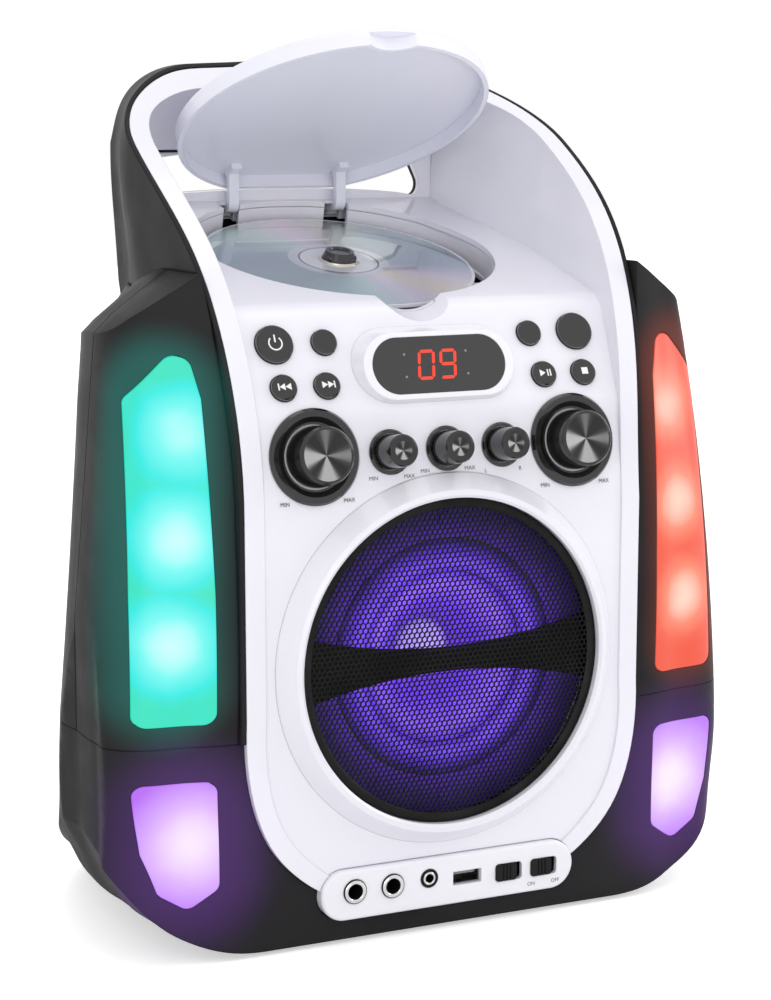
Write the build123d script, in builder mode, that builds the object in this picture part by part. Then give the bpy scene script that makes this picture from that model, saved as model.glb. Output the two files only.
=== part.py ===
"""Karaoke machine with a disc tray: a front moulding with a hood and carry slot, black housings
with lit side wings, one loudspeaker, a lidded disc mechanism, buttons, knobs, jacks and switches.

Millimetres, +Z up, X across the front, +Y to the back, origin in the middle of the base.
Depths are measured back from the speaker baffle plane, heights up from the ground.
"""
from build123d import *
from math import cos, pi, radians, sin, tan
import os

os.makedirs("parts", exist_ok=True)

# ---------------------------------------------------------------- driving dimensions
baffle_y = -93.0          # the speaker baffle plane, measured from the middle of the base
wall = 2.6                # moulded housing wall
clear = 0.3               # gap between separately moulded shells
rim = 2.2                 # black rim round the front moulding

base_height = 89.0        # seam between the base housing and what stands on it
base_half = 146.5         # half width of the base at the ground
seam_half = 142.3         # half width at the seam
shoulder_half = 134.3     # half width of the wings at shoulder height
wing_top_half = 126.0     # half width of the wings where their loft ends
shoulder_height = 180.0
wing_loft_top = 285.0
corner_radius = 66.0      # lower corners of the base, seen from the front
hull_front = 9.5          # depth of the black front faces at the base
hull_rear = 184.0         # depth of the back at the base
wing_split = 62.0         # depth of the seam between front and rear wing shells
wing_gap = 0.3            # gap between a wing and the body beside it

frame_half = 89.7         # half width of the front moulding
frame_bottom = 22.0
frame_face = 6.8          # depth of its side edges
frame_top = 356.3         # its crown
hood_half = 100.5         # half width of the hood
band = 8.5                # width of the raised band round the front moulding
flange_depth = 34.0       # how far the front moulding reaches into the body below the deck

deck_tilt = 15.0          # the deck and the disc lean forward
spindle_depth = 112.6
spindle_height = 271.2
deck_rise = 8.1           # deck above the middle of the disc, square to it
deck_wall = 2.6

button_tilt = 27.4        # the button panel leans back
button_depth = 18.5
button_height = 228.3
row_pitch = 18.5          # between the two button rows
knob_tilt = 10.0
knob_depth = 10.3
knob_height = 201.6

speaker_height = 115.0
speaker_radius = 67.6     # opening in the bezel
bezel_base_radius = 77.2
panel_depth = 7.8         # the flat baffle round the speaker

lid_radius = 68.9
lid_wall = 2.2
lid_skirt = 8.0
lid_open = 43.0           # how far the lid stands open
lid_chord = 63.5          # hinge-side flat, from the middle of the lid
lid_shift = -4.0          # the closed lid's middle, in front of the spindle
lid_gap = 0.3             # between the closed lid's skirt and the deck
hinge_back = 69.0         # hinge behind the spindle, along the deck
hinge_rise = 2.5          # and above the middle of the disc, square to it
hinge_x = 26.5            # arms, either side of the middle
arm_width = 4.8
arm_thickness = 3.2
eye_radius = 3.1
pin_radius = 1.5
pin_clear = 0.06

disc_radius = 60.0
disc_thickness = 1.2
disc_bore = 7.5
well_radius = 66.5
well_shift = -3.0         # middle of the well, in front of the spindle
well_chord = 63.0         # flat rear wall of the well, behind the spindle
bay_floor = -5.0          # below the middle of the disc
bay_wall = 2.0

sled_inner = 24.0         # reading lens at the start of the disc
sled_travel = 34.0
gear_module = 0.8
pinion_teeth = 12
wheel_teeth = 30
motor_teeth = 10
wheel_module = 0.6

button_travel = 0.8
button_gap = 0.25
switch_travel = 2.8
crease_radius = 16.0      # soft edges between the baffle, the two control panels and the deck


# ---------------------------------------------------------------- construction planes
def front_plane(depth):
    """Sketch x is across, sketch y is height; extrusions go towards the front."""
    return Plane(origin=(0, baffle_y + depth, 0), x_dir=(1, 0, 0), z_dir=(0, -1, 0))


def side_plane(x=0.0):
    """Sketch x is depth, sketch y is height; extrusions go towards +X."""
    return Plane(origin=(x, baffle_y, 0), x_dir=(0, 1, 0), z_dir=(1, 0, 0))


def plan_plane(height):
    """Sketch x is across, sketch y is depth; extrusions go up."""
    return Plane(origin=(0, baffle_y, height), x_dir=(1, 0, 0), z_dir=(0, 0, 1))


def leaning_plane(depth, height, lean):
    """A plane that faces the front and leans back by lean degrees; sketch y runs up it."""
    angle = radians(lean)
    return Plane(origin=(0, baffle_y + depth, height), x_dir=(1, 0, 0), z_dir=(0, -cos(angle), sin(angle)))


def deck_plane(rise=0.0):
    """Parallel to the disc, rise above its middle; sketch origin on the spindle, y to the back."""
    angle = radians(deck_tilt)
    normal = Vector(0, -sin(angle), cos(angle))
    middle = Vector(0, baffle_y + spindle_depth, spindle_height) + normal * rise
    return Plane(origin=middle, x_dir=(1, 0, 0), z_dir=normal)


def deck_side_plane(x=0.0):
    """Sketch x is the distance behind the spindle along the disc, y the rise; extrusions go towards +X."""
    return Plane(origin=deck_plane().from_local_coords((x, 0, 0)), x_dir=deck_plane().y_dir, z_dir=(1, 0, 0))


closed_rise = deck_rise + lid_skirt + lid_gap        # top of the closed lid above the middle of the disc
hinge_point = deck_plane().from_local_coords((0, hinge_back, hinge_rise))


def lid_plane(rise=0.0):
    """The open lid: sketch origin in the middle of its plate, y to the hinge, z out of its top."""
    closed = deck_plane().from_local_coords((0, lid_shift, closed_rise))
    turned_up = (closed - hinge_point).rotate(Axis.X, -lid_open)
    normal = deck_plane().z_dir.rotate(Axis.X, -lid_open)
    return Plane(origin=hinge_point + turned_up + normal * rise, x_dir=(1, 0, 0), z_dir=normal)


def lid_side_plane(x=0.0):
    """Side view of the open lid: sketch x runs to the hinge, y out of its top; extrusions go towards +X."""
    return Plane(origin=lid_plane().from_local_coords((x, 0, 0)), x_dir=lid_plane().y_dir, z_dir=(1, 0, 0))


button_plane = leaning_plane(button_depth, button_height, button_tilt)
knob_plane = leaning_plane(knob_depth, knob_height, knob_tilt)
speaker_plane = Plane(origin=(0, baffle_y, speaker_height), x_dir=(1, 0, 0), z_dir=(0, -1, 0))


def save(piece, label):
    """Names a finished piece and writes its STEP file."""
    piece.label = label
    export_step(piece, f"parts/{label}.step")


# ---------------------------------------------------------------- shared outlines
def mirrored(points):
    """The same points on the other side of the middle, in the opposite order."""
    return [(-x, y) for x, y in reversed(points)]


def hull_outline(half, front, rear, flat=88.0, grow=0.0):
    """Plan outline of the black hull: a flat front, full rounded sides and a crowned back."""
    half = half + grow
    front = front - grow
    rear = rear + grow
    span = rear - front
    right = [
        (flat, front),
        (flat + 0.62 * (half - flat), front + 0.06 * span),
        (0.985 * half, front + 0.2 * span),
        (half, front + 0.3 * span),
        (0.94 * half, front + 0.62 * span),
        (0.64 * half, front + 0.92 * span),
    ]
    with BuildSketch() as outline:
        with BuildLine():
            Line((-flat, front), (flat, front))
            Spline(*right, (0, rear), *mirrored(right))
        make_face()
    return outline.sketch


def frame_outline(grow=0.0):
    """Front view of the front moulding, grown outwards by grow."""
    half = frame_half + grow
    corner = [
        (54, frame_bottom - grow),
        (66 + 0.5 * grow, 30 - 0.8 * grow),
        (78 + 0.75 * grow, 43 - 0.6 * grow),
        (86 + 0.9 * grow, 61 - 0.3 * grow),
        (half, 98),
    ]
    hood = [
        (half + 0.2, 176),
        (92.3 + grow, 237.7),
        (97.3 + grow, 284.7),
        (hood_half + grow, 318),
        (95.5 + 0.85 * grow, 338.3 + 0.5 * grow),
        (80 + 0.5 * grow, 349.3 + 0.85 * grow),
        (40, frame_top - 1.5 + grow),
    ]
    with BuildSketch() as outline:
        with BuildLine():
            Line((-54, frame_bottom - grow), (54, frame_bottom - grow))
            Spline(*corner)
            Spline(*mirrored(corner))
            Line((half, 98), (half + 0.2, 176))
            Line((-half, 98), (-half - 0.2, 176))
            Spline(*hood, (0, frame_top + grow), *mirrored(hood))
        make_face()
    return outline.sketch


def body_side(inset=0.0, bottom=base_height, open_front=False):
    """Side view of the middle body: the leaning front edge, the hood's tip and the waisted back."""
    top = (154 - inset, 359.6)
    back = [
        top,
        (162 - inset, 349),
        (172 - inset, 324),
        (187.6 - inset, 300),
        (177 - inset, 268),
        (172 - inset, 236),
        (177 - inset, 160),
        (hull_rear - 1 - inset, bottom),
    ]
    with BuildSketch() as outline:
        with BuildLine():
            if open_front:
                Polyline((frame_face - 30, bottom), (frame_face - 30, top[1]), top)
                Line((frame_face - 30, bottom), back[-1])
            else:
                Line((frame_face, bottom), (frame_face, 176))
                Spline((frame_face, 176), (8.6, 200), (15.7, 237.7), (35.7, 277.3), (89, 319.8), (120, 338.8), top)
                Line((frame_face, bottom), back[-1])
            Spline(*back)
        make_face()
    return outline.sketch


def crowned_plan(inset=0.0):
    """Plan of the middle body's crowned back."""
    half = hood_half + rim + 4
    corner = 171.5 - inset
    with BuildSketch() as outline:
        with BuildLine():
            Polyline((-half, corner), (-half, -20), (half, -20), (half, corner))
            ThreePointArc((half, corner), (0, 190 - inset), (-half, corner))
        make_face()
    return outline.sketch


def face_line(depth, height, tilt, shift):
    """A face of the front seen from the side: a point on it, moved inwards by shift, and its tilt."""
    angle = radians(tilt)
    return depth + shift * cos(angle), height - shift * sin(angle), angle


def crossing(first, second):
    """Depth and height where two such faces meet."""
    depth, height, angle = first
    away = second[0] - depth
    above = second[1] - height
    along = (away * cos(second[2]) - above * sin(second[2])) / sin(angle - second[2])
    return depth + along * sin(angle), height + along * cos(angle)


def deck_top(depth):
    """Height of the deck's surface at a depth."""
    angle = radians(deck_tilt)
    return spindle_height + deck_rise / cos(angle) + (depth - spindle_depth) * tan(angle)


def front_surface(shift=0.0, tail=190.0):
    """Side view of everything behind the control panels and under the deck, moved inwards by shift."""
    faces = [
        face_line(panel_depth, 0, 0, shift),
        face_line(knob_depth, knob_height, knob_tilt, shift),
        face_line(button_depth, button_height, button_tilt, shift),
        face_line(spindle_depth, deck_top(spindle_depth), 90 - deck_tilt, shift),
    ]
    corners = [crossing(lower, upper) for lower, upper in zip(faces, faces[1:])]
    end = (tail, deck_top(tail) - shift / cos(radians(deck_tilt)))
    with BuildSketch() as outline:
        with BuildLine():
            FilletPolyline((panel_depth + shift, 0), *corners, end, radius=crease_radius - shift)
            Polyline(end, (tail, 0), (panel_depth + shift, 0))
        make_face()
    return outline.sketch


def loft_hull(levels, grow=0.0, flat=88.0):
    """Lofts the hull outline through (height, half width, front, rear) levels."""
    with BuildPart() as hull:
        for height, half, front, rear in levels:
            with BuildSketch(plan_plane(height)):
                add(hull_outline(half, front, rear, flat, grow))
        loft(ruled=len(levels) == 2)
    return hull.part


# ---------------------------------------------------------------- housings
foot_height = 2.0
base_lean = (base_half - seam_half) / (base_height - foot_height)
overrun = 8.0             # how far a hollow runs on past the open edge of its shell
reach = 260.0             # longer than the machine is deep, for cutters that go right through
pill_length = 117.0       # jack panel
pill_height = 21.0
pill_middle = 21.7
pill_face = 4.6
pill_fit = 0.25


def base_form(inset=0.0):
    """The base housing's outside, or the hollow inside it when inset, open on top."""
    low = foot_height - overrun
    high = base_height + (overrun if inset else 0)
    levels = [
        (low, base_half + overrun * base_lean, hull_front, hull_rear),
        (high, seam_half - (high - base_height) * base_lean, hull_front, hull_rear),
    ]
    with BuildPart() as form:
        add(loft_hull(levels, grow=-inset))
        with BuildSketch(front_plane(hull_rear + 20)):
            with Locations((0, foot_height + base_height / 2 + corner_radius)):
                RectangleRounded(2 * base_half + 1 - 2 * inset, base_height + 2 * corner_radius - 2 * inset,
                                 corner_radius - inset)
        extrude(amount=reach, mode=Mode.INTERSECT)
    return form.part


def middle_prism(grow):
    """The space the middle body takes between the wings, seen from the front and grown by grow."""
    with BuildPart() as prism:
        with BuildSketch(front_plane(reach - 40)):
            add(frame_outline(rim + grow))
            with Locations((0, 100)):
                Rectangle(2 * (frame_half + rim + grow), 150)
        extrude(amount=reach)
    return prism.part


def wing_form(inset=0.0):
    """Both wings as solids, or the hollows inside them when inset."""
    slope = [
        (-160, base_height + clear - inset),
        (160, base_height + clear - inset),
        (160, 225 - inset),
        (wing_top_half + 5 - inset, 247 - inset),
        (wing_top_half - 5, 257 - inset),
        (99, 273.5 - inset),
        (0, 290 - inset),
    ]
    seam = base_height + clear - (overrun if inset else 0)
    levels = [
        (seam, seam_half, hull_front, hull_rear),
        (shoulder_height, shoulder_half, hull_front + 1, hull_rear - 4),
        (wing_loft_top, wing_top_half, hull_front + 19.5, hull_rear - 12),
    ]
    with BuildPart() as form:
        add(loft_hull(levels, grow=-inset))
        with BuildSketch(front_plane(reach - 40)):
            with BuildLine():
                Polyline(*slope, (-99, slope[5][1]), (-slope[4][0], slope[4][1]), (-slope[3][0], slope[3][1]),
                         (-160, slope[2][1]), slope[0])
            make_face()
        extrude(amount=reach, mode=Mode.INTERSECT)
        add(middle_prism(wing_gap + inset), mode=Mode.SUBTRACT)
    return form.part


def pill_prism(grow=0.0):
    """The jack panel's pill outline, right through the front."""
    with BuildPart() as prism:
        with BuildSketch(front_plane(flange_depth)):
            with Locations((0, pill_middle)):
                SlotOverall(pill_length + 2 * grow, pill_height + 2 * grow)
        extrude(amount=flange_depth + 20)
    return prism.part


def upper_lens_outline(side, inset=0.0):
    """Upper light, in front view; side is 1 on the right and -1 on the left."""
    inner = 100 + inset
    corners = [
        (inner, 98 + inset),
        (129 - inset, 98 + inset),
        (128 - inset, 150),
        (125.5 - inset, 226 - inset),
        (106, 249 - 1.4 * inset),
        (inner + 1.5, 226),
        (inner, 150),
    ]
    with BuildSketch() as outline:
        with BuildLine():
            FilletPolyline(*[(side * x, y) for x, y in corners], radius=5, close=True)
        make_face()
    return outline.sketch


def lower_lens_outline(side, inset=0.0):
    """Lower light, in front view, with the base's round corner on its outer side."""
    with BuildSketch() as outline:
        with BuildLine():
            FilletPolyline((side * (100 + inset), 75 - inset), (side * (129.5 - inset), 75 - inset),
                           (side * (129 - inset), 47), (side * (124 - inset), 30 + inset),
                           (side * 112, 22.5 + 1.2 * inset), (side * (100 + inset), 31 + inset),
                           radius=4.5, close=True)
        make_face()
    return outline.sketch


lens_fit = 0.2

# base housing: open on top, with places for the front moulding, the jack panel and the lower lights
boss_places = [(-55, 60), (55, 60), (-55, 130), (55, 130)]
boss_top = 14.0
rear_jack_x = (-34.0, -20.0, -6.0)
rear_jack_height = 52.0
inlet_x = 26.0
foot_places = [(-68, 30), (68, 30), (-68, 158), (68, 158)]
foot_radius = 9.0

with BuildPart() as base_housing:
    add(base_form())
    add(base_form(wall), mode=Mode.SUBTRACT)
    with BuildSketch(plan_plane(base_height)):
        with Locations((0, 90)):
            Rectangle(2 * base_half + 20, 240)
    extrude(amount=40, mode=Mode.SUBTRACT)
    with BuildSketch(plan_plane(foot_height + wall)):
        with Locations(*boss_places):
            Circle(4)
            Circle(1.4, mode=Mode.SUBTRACT)
    extrude(amount=boss_top - foot_height - wall)
    with BuildSketch(front_plane(flange_depth + 4)):
        add(frame_outline(0.2))
    extrude(amount=flange_depth + 20, mode=Mode.SUBTRACT)
    add(pill_prism(pill_fit), mode=Mode.SUBTRACT)
    for side in (1, -1):
        with BuildSketch(front_plane(wing_split)):
            add(lower_lens_outline(side))
        extrude(amount=wing_split + 10, mode=Mode.SUBTRACT)
    with BuildSketch(front_plane(hull_rear + 10)):
        with Locations(*[(x, rear_jack_height) for x in rear_jack_x]):
            Circle(5.2)
        with Locations((inlet_x, rear_jack_height)):
            Circle(5.7)
    extrude(amount=25, mode=Mode.SUBTRACT)
save(base_housing.part, "base_housing")

# wing shells: front and rear halves of both wings
wing_solid = wing_form()
wing_hollow = wing_form(wall)
with BuildPart() as wing_front_shells:
    add(wing_solid)
    add(wing_hollow, mode=Mode.SUBTRACT)
    with BuildSketch(front_plane(reach)):
        with Locations((0, 180)):
            Rectangle(400, 400)
    extrude(amount=reach - wing_split, mode=Mode.SUBTRACT)
    for side in (1, -1):
        with BuildSketch(front_plane(wing_split)):
            add(upper_lens_outline(side))
        extrude(amount=wing_split + 10, mode=Mode.SUBTRACT)
save(wing_front_shells.part, "wing_front_shells")

with BuildPart() as wing_rear_shells:
    add(wing_solid)
    add(wing_hollow, mode=Mode.SUBTRACT)
    with BuildSketch(front_plane(wing_split + clear)):
        with Locations((0, 180)):
            Rectangle(400, 400)
    extrude(amount=reach, mode=Mode.SUBTRACT)
save(wing_rear_shells.part, "wing_rear_shells")

# lights: lenses that follow the shells they sit in
for side, hand in ((1, "right"), (-1, "left")):
    with BuildPart() as upper_lens:
        add(wing_solid)
        add(wing_hollow, mode=Mode.SUBTRACT)
        with BuildSketch(front_plane(wing_split)):
            add(upper_lens_outline(side, lens_fit))
        extrude(amount=wing_split + 10, mode=Mode.INTERSECT)
    save(upper_lens.part, f"upper_lens_{hand}")

with BuildPart() as lower_lenses:
    add(base_form())
    add(base_form(wall), mode=Mode.SUBTRACT)
    with BuildSketch(front_plane(wing_split)):
        add(lower_lens_outline(1, lens_fit))
        add(lower_lens_outline(-1, lens_fit))
    extrude(amount=wing_split + 10, mode=Mode.INTERSECT)
save(lower_lenses.part, "lower_lenses")

# rear cabinet: the black shell behind the front moulding, up to and over the hood
handle_half = 86.0
handle_top = 319.0
handle_crown = 301.0      # the ledge under the carry slot, in the middle
handle_edge = 296.0       # and at its ends
handle_taper = 12.0


def handle_prism():
    """The carry slot under the hood, right through the back."""
    top_half = handle_half - handle_taper
    with BuildPart() as prism:
        with BuildSketch(front_plane(reach - 40)) as slot:
            with BuildLine():
                ThreePointArc((-handle_half, handle_edge), (0, handle_crown), (handle_half, handle_edge))
                Line((handle_half, handle_edge), (top_half, handle_top - 5))
                ThreePointArc((top_half, handle_top - 5), (0, handle_top), (-top_half, handle_top - 5))
                Line((-top_half, handle_top - 5), (-handle_half, handle_edge))
            make_face()
            fillet(slot.vertices(), 5)
        extrude(amount=reach - 40 - 160)
    return prism.part


def middle_body(inset=0.0, open_front=False):
    """The middle body's outside, or the space inside it when inset."""
    bottom = base_height + clear - (overrun if open_front else 0)
    with BuildPart() as form:
        with BuildSketch(front_plane(reach - 40)):
            add(frame_outline(0.2 if open_front else rim))
            with Locations((0, 120)):
                Rectangle(2 * (frame_half + (0.2 if open_front else rim)), 90)
        extrude(amount=reach)
        with BuildSketch(side_plane(-150)):
            add(body_side(inset, bottom, open_front))
        extrude(amount=300, mode=Mode.INTERSECT)
        with BuildSketch(plan_plane(0)):
            add(crowned_plan(inset))
        extrude(amount=400, mode=Mode.INTERSECT)
    return form.part


vent_rows = 6
vent_pitch = 7.0
screw_places = [(-72, 112), (72, 112), (-72, 196), (72, 196)]
screw_head = 3.2

with BuildPart() as rear_cabinet:
    add(middle_body())
    add(middle_body(wall, open_front=True), mode=Mode.SUBTRACT)
    add(handle_prism(), mode=Mode.SUBTRACT)
    with BuildSketch(front_plane(reach - 40)):
        with GridLocations(46, vent_pitch, 3, vent_rows):
            with Locations((0, 150)):
                SlotOverall(38, 3)
        with Locations(*screw_places):
            Circle(screw_head + 0.1)
    extrude(amount=reach - 40 - 150, mode=Mode.SUBTRACT)
save(rear_cabinet.part, "rear_cabinet")

# front moulding: raised band, speaker baffle, knob and button panels, deck and hood in one piece
hood_back = [(134, 372), (134, 350), (141, 347), (170, handle_top), (210, handle_top), (210, 372)]
ledge_front = 173.4       # depth of the ledge between the deck and the carry slot
lug_half = 11.0
slot_play = 0.8           # side play of an arm in its slot
slot_side = 4.5           # room left of each arm
slot_front = 55.0         # the slots run from here to the hinge, behind the spindle
slot_low = -4.0           # from below the disc's middle
slot_high = 6.8           # to inside the deck
strap_room = 62.2         # the deck itself is open as far back as this
under_deck = 20.0         # depth of the front moulding's skirt below the deck
notch_radius = 22.0
notch_sink = 6.0
panel_opening = 70.3      # hole behind the speaker bezel
button_layout = {
    "power_button": (-68.5, 1, 7.9),
    "repeat_button": (-46.8, 1, 5.3),
    "previous_button": (-68.2, 0, 5.4),
    "next_button": (-49.4, 0, 5.4),
    "program_button": (46.8, 1, 5.3),
    "light_show_button": (68.5, 1, 7.9),
    "play_button": (49.4, 0, 5.4),
    "stop_button": (68.2, 0, 5.4),
}
knob_layout = {
    "microphone_volume_knob": (-58.6, 12.4, 19.4),
    "echo_knob": (-25.4, 6.0, 9.2),
    "talk_over_knob": (0.0, 6.0, 9.2),
    "balance_knob": (25.4, 6.0, 9.2),
    "master_volume_knob": (58.6, 12.4, 19.4),
}
bushing_radius = 4.4
display_middle = (16.0, 235.3)      # depth and height of the display's face
display_tilt = 16.0
bezel_size = (74.0, 33.0)
window_size = (60.0, 23.0)
display_plane = leaning_plane(*display_middle, display_tilt)


def hood_cavity():
    """The open space above the deck and in front of the panels, inside the raised band."""
    with BuildPart() as cavity:
        with BuildSketch(front_plane(ledge_front)):
            add(frame_outline(-band))
        extrude(amount=reach)
        with BuildSketch(side_plane(-150)):
            with Locations((80, 190)):
                Rectangle(320, 400)
            add(front_surface(), mode=Mode.SUBTRACT)
            with BuildLine():
                Polyline(*hood_back, close=True)
            make_face(mode=Mode.SUBTRACT)
        extrude(amount=300, mode=Mode.INTERSECT)
    return cavity.part


def inner_space():
    """The space behind the panels and under the deck."""
    with BuildPart() as space:
        with BuildSketch(front_plane(reach - 40)):
            add(frame_outline(-wall))
        extrude(amount=reach)
        with BuildSketch(side_plane(-150)):
            add(front_surface(deck_wall, tail=240))
        extrude(amount=300, mode=Mode.INTERSECT)
    return space.part


def well_prism(radius, low, high):
    """The disc well's round-backed outline, from low to high above the middle of the disc."""
    with BuildPart() as prism:
        with BuildSketch(deck_plane(low)):
            with Locations((0, well_shift)):
                Circle(radius)
            with Locations((0, well_chord + radius - well_radius + 50)):
                Rectangle(200, 100, mode=Mode.SUBTRACT)
        extrude(amount=high - low)
    return prism.part


def arm_slots():
    """Slots for the lid's arms in the rear wall of the well and between the hinge lugs."""
    with BuildPart() as slots:
        for side in (1, -1):
            with BuildSketch(deck_side_plane(side * hinge_x - arm_width / 2 - slot_side)):
                with Locations((hinge_back, hinge_rise)):
                    Circle(eye_radius + 0.6)
                with Locations(((slot_front + hinge_back) / 2, (slot_low + slot_high) / 2)):
                    Rectangle(hinge_back - slot_front, slot_high - slot_low)
                with Locations(((slot_front + strap_room) / 2, slot_high)):
                    Rectangle(strap_room - slot_front, 24)
            extrude(amount=arm_width + slot_side + slot_play)
    return slots.part


def notch_prism():
    """The finger scoop in the front lip of the well."""
    scoop = Plane(origin=deck_plane(deck_rise).from_local_coords((0, -98, 0)), x_dir=(-1, 0, 0),
                  z_dir=deck_plane().y_dir)
    with BuildPart() as prism:
        with BuildSketch(scoop):
            with Locations((0, notch_radius - notch_sink)):
                Circle(notch_radius)
        extrude(amount=38)
    return prism.part


frame_rear = wall + clear
skirt_height = deck_top(flange_depth) - under_deck
skirt_rise = (reach - flange_depth) * tan(radians(deck_tilt))

def lip_block():
    """Fills the corner between the button panel and the disc bay, where the finger scoop is cut."""
    with BuildPart() as block:
        with BuildSketch(side_plane(-notch_radius)):
            add(front_surface(0.5))
            with Locations((38, 258)):
                Rectangle(18, 16, mode=Mode.INTERSECT)
        extrude(amount=2 * notch_radius)
        add(well_prism(well_radius + bay_wall + clear, -40, deck_rise - deck_wall), mode=Mode.SUBTRACT)
    return block.part


with BuildPart() as front_frame:
    with BuildSketch(front_plane(reach - 40)):
        add(frame_outline())
    extrude(amount=reach)
    with BuildSketch(side_plane(-150)):
        add(body_side(frame_rear, frame_bottom - 5))
    extrude(amount=300, mode=Mode.INTERSECT)
    with BuildSketch(plan_plane(0)):
        add(crowned_plan(frame_rear))
    extrude(amount=400, mode=Mode.INTERSECT)
    add(hood_cavity(), mode=Mode.SUBTRACT)
    add(inner_space(), mode=Mode.SUBTRACT)
    with BuildSketch(side_plane(-150)):
        with BuildLine():
            Polyline((flange_depth, 0), (flange_depth, skirt_height), (reach, skirt_height + skirt_rise),
                     (reach, 0), close=True)
        make_face()
    extrude(amount=300, mode=Mode.SUBTRACT)
    # hinge lugs under the back of the deck, and the solid lip in front of the well
    for side in (1, -1):
        with BuildSketch(deck_side_plane(side * hinge_x - lug_half)):
            with Locations((hinge_back - 0.2, hinge_rise - 0.4)):
                Rectangle(7, 7.6)
        extrude(amount=2 * lug_half)
    add(lip_block())
    add(handle_prism(), mode=Mode.SUBTRACT)
    add(arm_slots(), mode=Mode.SUBTRACT)
    for side in (1, -1):
        with BuildSketch(deck_side_plane(side * hinge_x - lug_half)):
            with Locations((hinge_back, hinge_rise)):
                Circle(pin_radius)
        extrude(amount=2 * lug_half, mode=Mode.SUBTRACT)
    # disc well, finger notch and the holes for everything fitted in the panels
    add(well_prism(well_radius, -12, 40), mode=Mode.SUBTRACT)
    add(notch_prism(), mode=Mode.SUBTRACT)
    with BuildSketch(speaker_plane):
        Circle(panel_opening)
    extrude(amount=30, both=True, mode=Mode.SUBTRACT)
    for x, row, radius in button_layout.values():
        with BuildSketch(button_plane):
            with Locations((x, row * row_pitch)):
                Circle(radius + button_gap)
        extrude(amount=12, both=True, mode=Mode.SUBTRACT)
    with BuildSketch(knob_plane):
        with Locations(*[(x, 0) for x, _, _ in knob_layout.values()]):
            Circle(bushing_radius)
    extrude(amount=12, both=True, mode=Mode.SUBTRACT)
    with BuildSketch(display_plane):
        SlotOverall(window_size[0] - 2, window_size[1] - 2)
    extrude(amount=-30, mode=Mode.SUBTRACT)
    add(pill_prism(pill_fit), mode=Mode.SUBTRACT)
save(front_frame.part, "front_frame")


def turned(points, plane, x=0.0, y=0.0):
    """A solid of revolution standing on a plane; the points are (radius, height out of the plane)."""
    centre = plane.from_local_coords((x, y, 0))
    section = Plane(origin=centre, x_dir=plane.x_dir, z_dir=plane.x_dir.cross(plane.z_dir))
    with BuildPart() as solid:
        with BuildSketch(section):
            with BuildLine():
                Polyline(*points, close=True)
            make_face()
        revolve(axis=Axis(centre, plane.z_dir))
    return solid.part


def ring(inner, outer, low, high):
    """Section of a plain ring, or of a disc when inner is 0."""
    return [(inner, low), (outer, low), (outer, high), (inner, high)]


# screws in the back of the cabinet
screw_shank = 1.4
head_inset = 0.5          # screw heads below the surface
with BuildPart() as housing_screws:
    with BuildSketch(front_plane(reach - 40)):
        with Locations(*screw_places):
            Circle(screw_head)
    extrude(amount=reach - 40 - 150)
    add(middle_body(wall, open_front=True), mode=Mode.SUBTRACT)
    with BuildSketch(front_plane(reach - 40)):
        with Locations(*screw_places):
            Circle(screw_shank)
    extrude(amount=reach - 40 - 162)
    add(middle_body(head_inset), mode=Mode.INTERSECT)
save(housing_screws.part, "housing_screws")

with BuildPart() as rubber_feet:
    with BuildSketch(plan_plane(0)):
        with Locations(*foot_places):
            Circle(foot_radius)
    extrude(amount=foot_height)
save(rubber_feet.part, "rubber_feet")

# ---------------------------------------------------------------- light plates behind the lenses
plate_depth = 56.0
plate_thickness = 1.6
led_size = 5.0
led_height = 1.6
led_column = 113.0
upper_led_heights = (131.0, 174.0, 214.0)
lower_led_height = 48.0


def led_blocks(places):
    """Square LEDs on the front of a plate."""
    with BuildPart() as blocks:
        with BuildSketch(front_plane(plate_depth)):
            with Locations(*places):
                Rectangle(led_size, led_size)
        extrude(amount=led_height)
    return blocks.part


with BuildPart() as upper_light_plates:
    add(wing_form(wall + clear))
    with BuildSketch(front_plane(plate_depth + plate_thickness)):
        with Locations((0, 170)):
            Rectangle(2 * base_half, 144)
    extrude(amount=plate_thickness, mode=Mode.INTERSECT)
    add(led_blocks([(side * led_column, height) for side in (1, -1) for height in upper_led_heights]))
save(upper_light_plates.part, "upper_light_plates")

with BuildPart() as lower_light_plates:
    add(base_form(wall + clear))
    with BuildSketch(front_plane(plate_depth + plate_thickness)):
        with Locations((led_column, 42), (-led_column, 42)):
            Rectangle(34, 82)
    extrude(amount=plate_thickness, mode=Mode.INTERSECT)
    add(led_blocks([(led_column, lower_led_height), (-led_column, lower_led_height)]))
save(lower_light_plates.part, "lower_light_plates")

# ---------------------------------------------------------------- loudspeaker
collar_depth = 13.0       # how far the bezel reaches back through the baffle
collar_wall = 2.4
mesh_radius = 62.5        # perforated part of the grille
mesh_depth = 4.0
mesh_thickness = 1.2
mesh_rim = 1.2            # extra thickness of its edge, each way
hole_flat = 3.8           # half the width of a hole across its flats
hole_pitch = 9.2
bar_depth = 7.4
bar_thickness = 1.6
bar_half = 5.0            # half height of the crossbar in the middle
bar_flare = 15.0          # and at its ends
grille_fit = 0.2
flange_thickness = 2.2
cone_radius = 35.8
cone_front = -13.2
cone_back = -33.0
cone_wall = 1.0
coil_radius = 12.0
coil_back = -48.0
cone_travel = 1.5
surround_outer = 44.8
surround_roll = 2.4
surround_lip = 0.9        # thickness of the surround
cage_back = -43.0
magnet_radius = 32.0
magnet_back = -62.0
magnet_gap = 1.0          # either side of the voice coil
led_ring_inner = 50.0
led_ring_outer = 66.0

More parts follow.
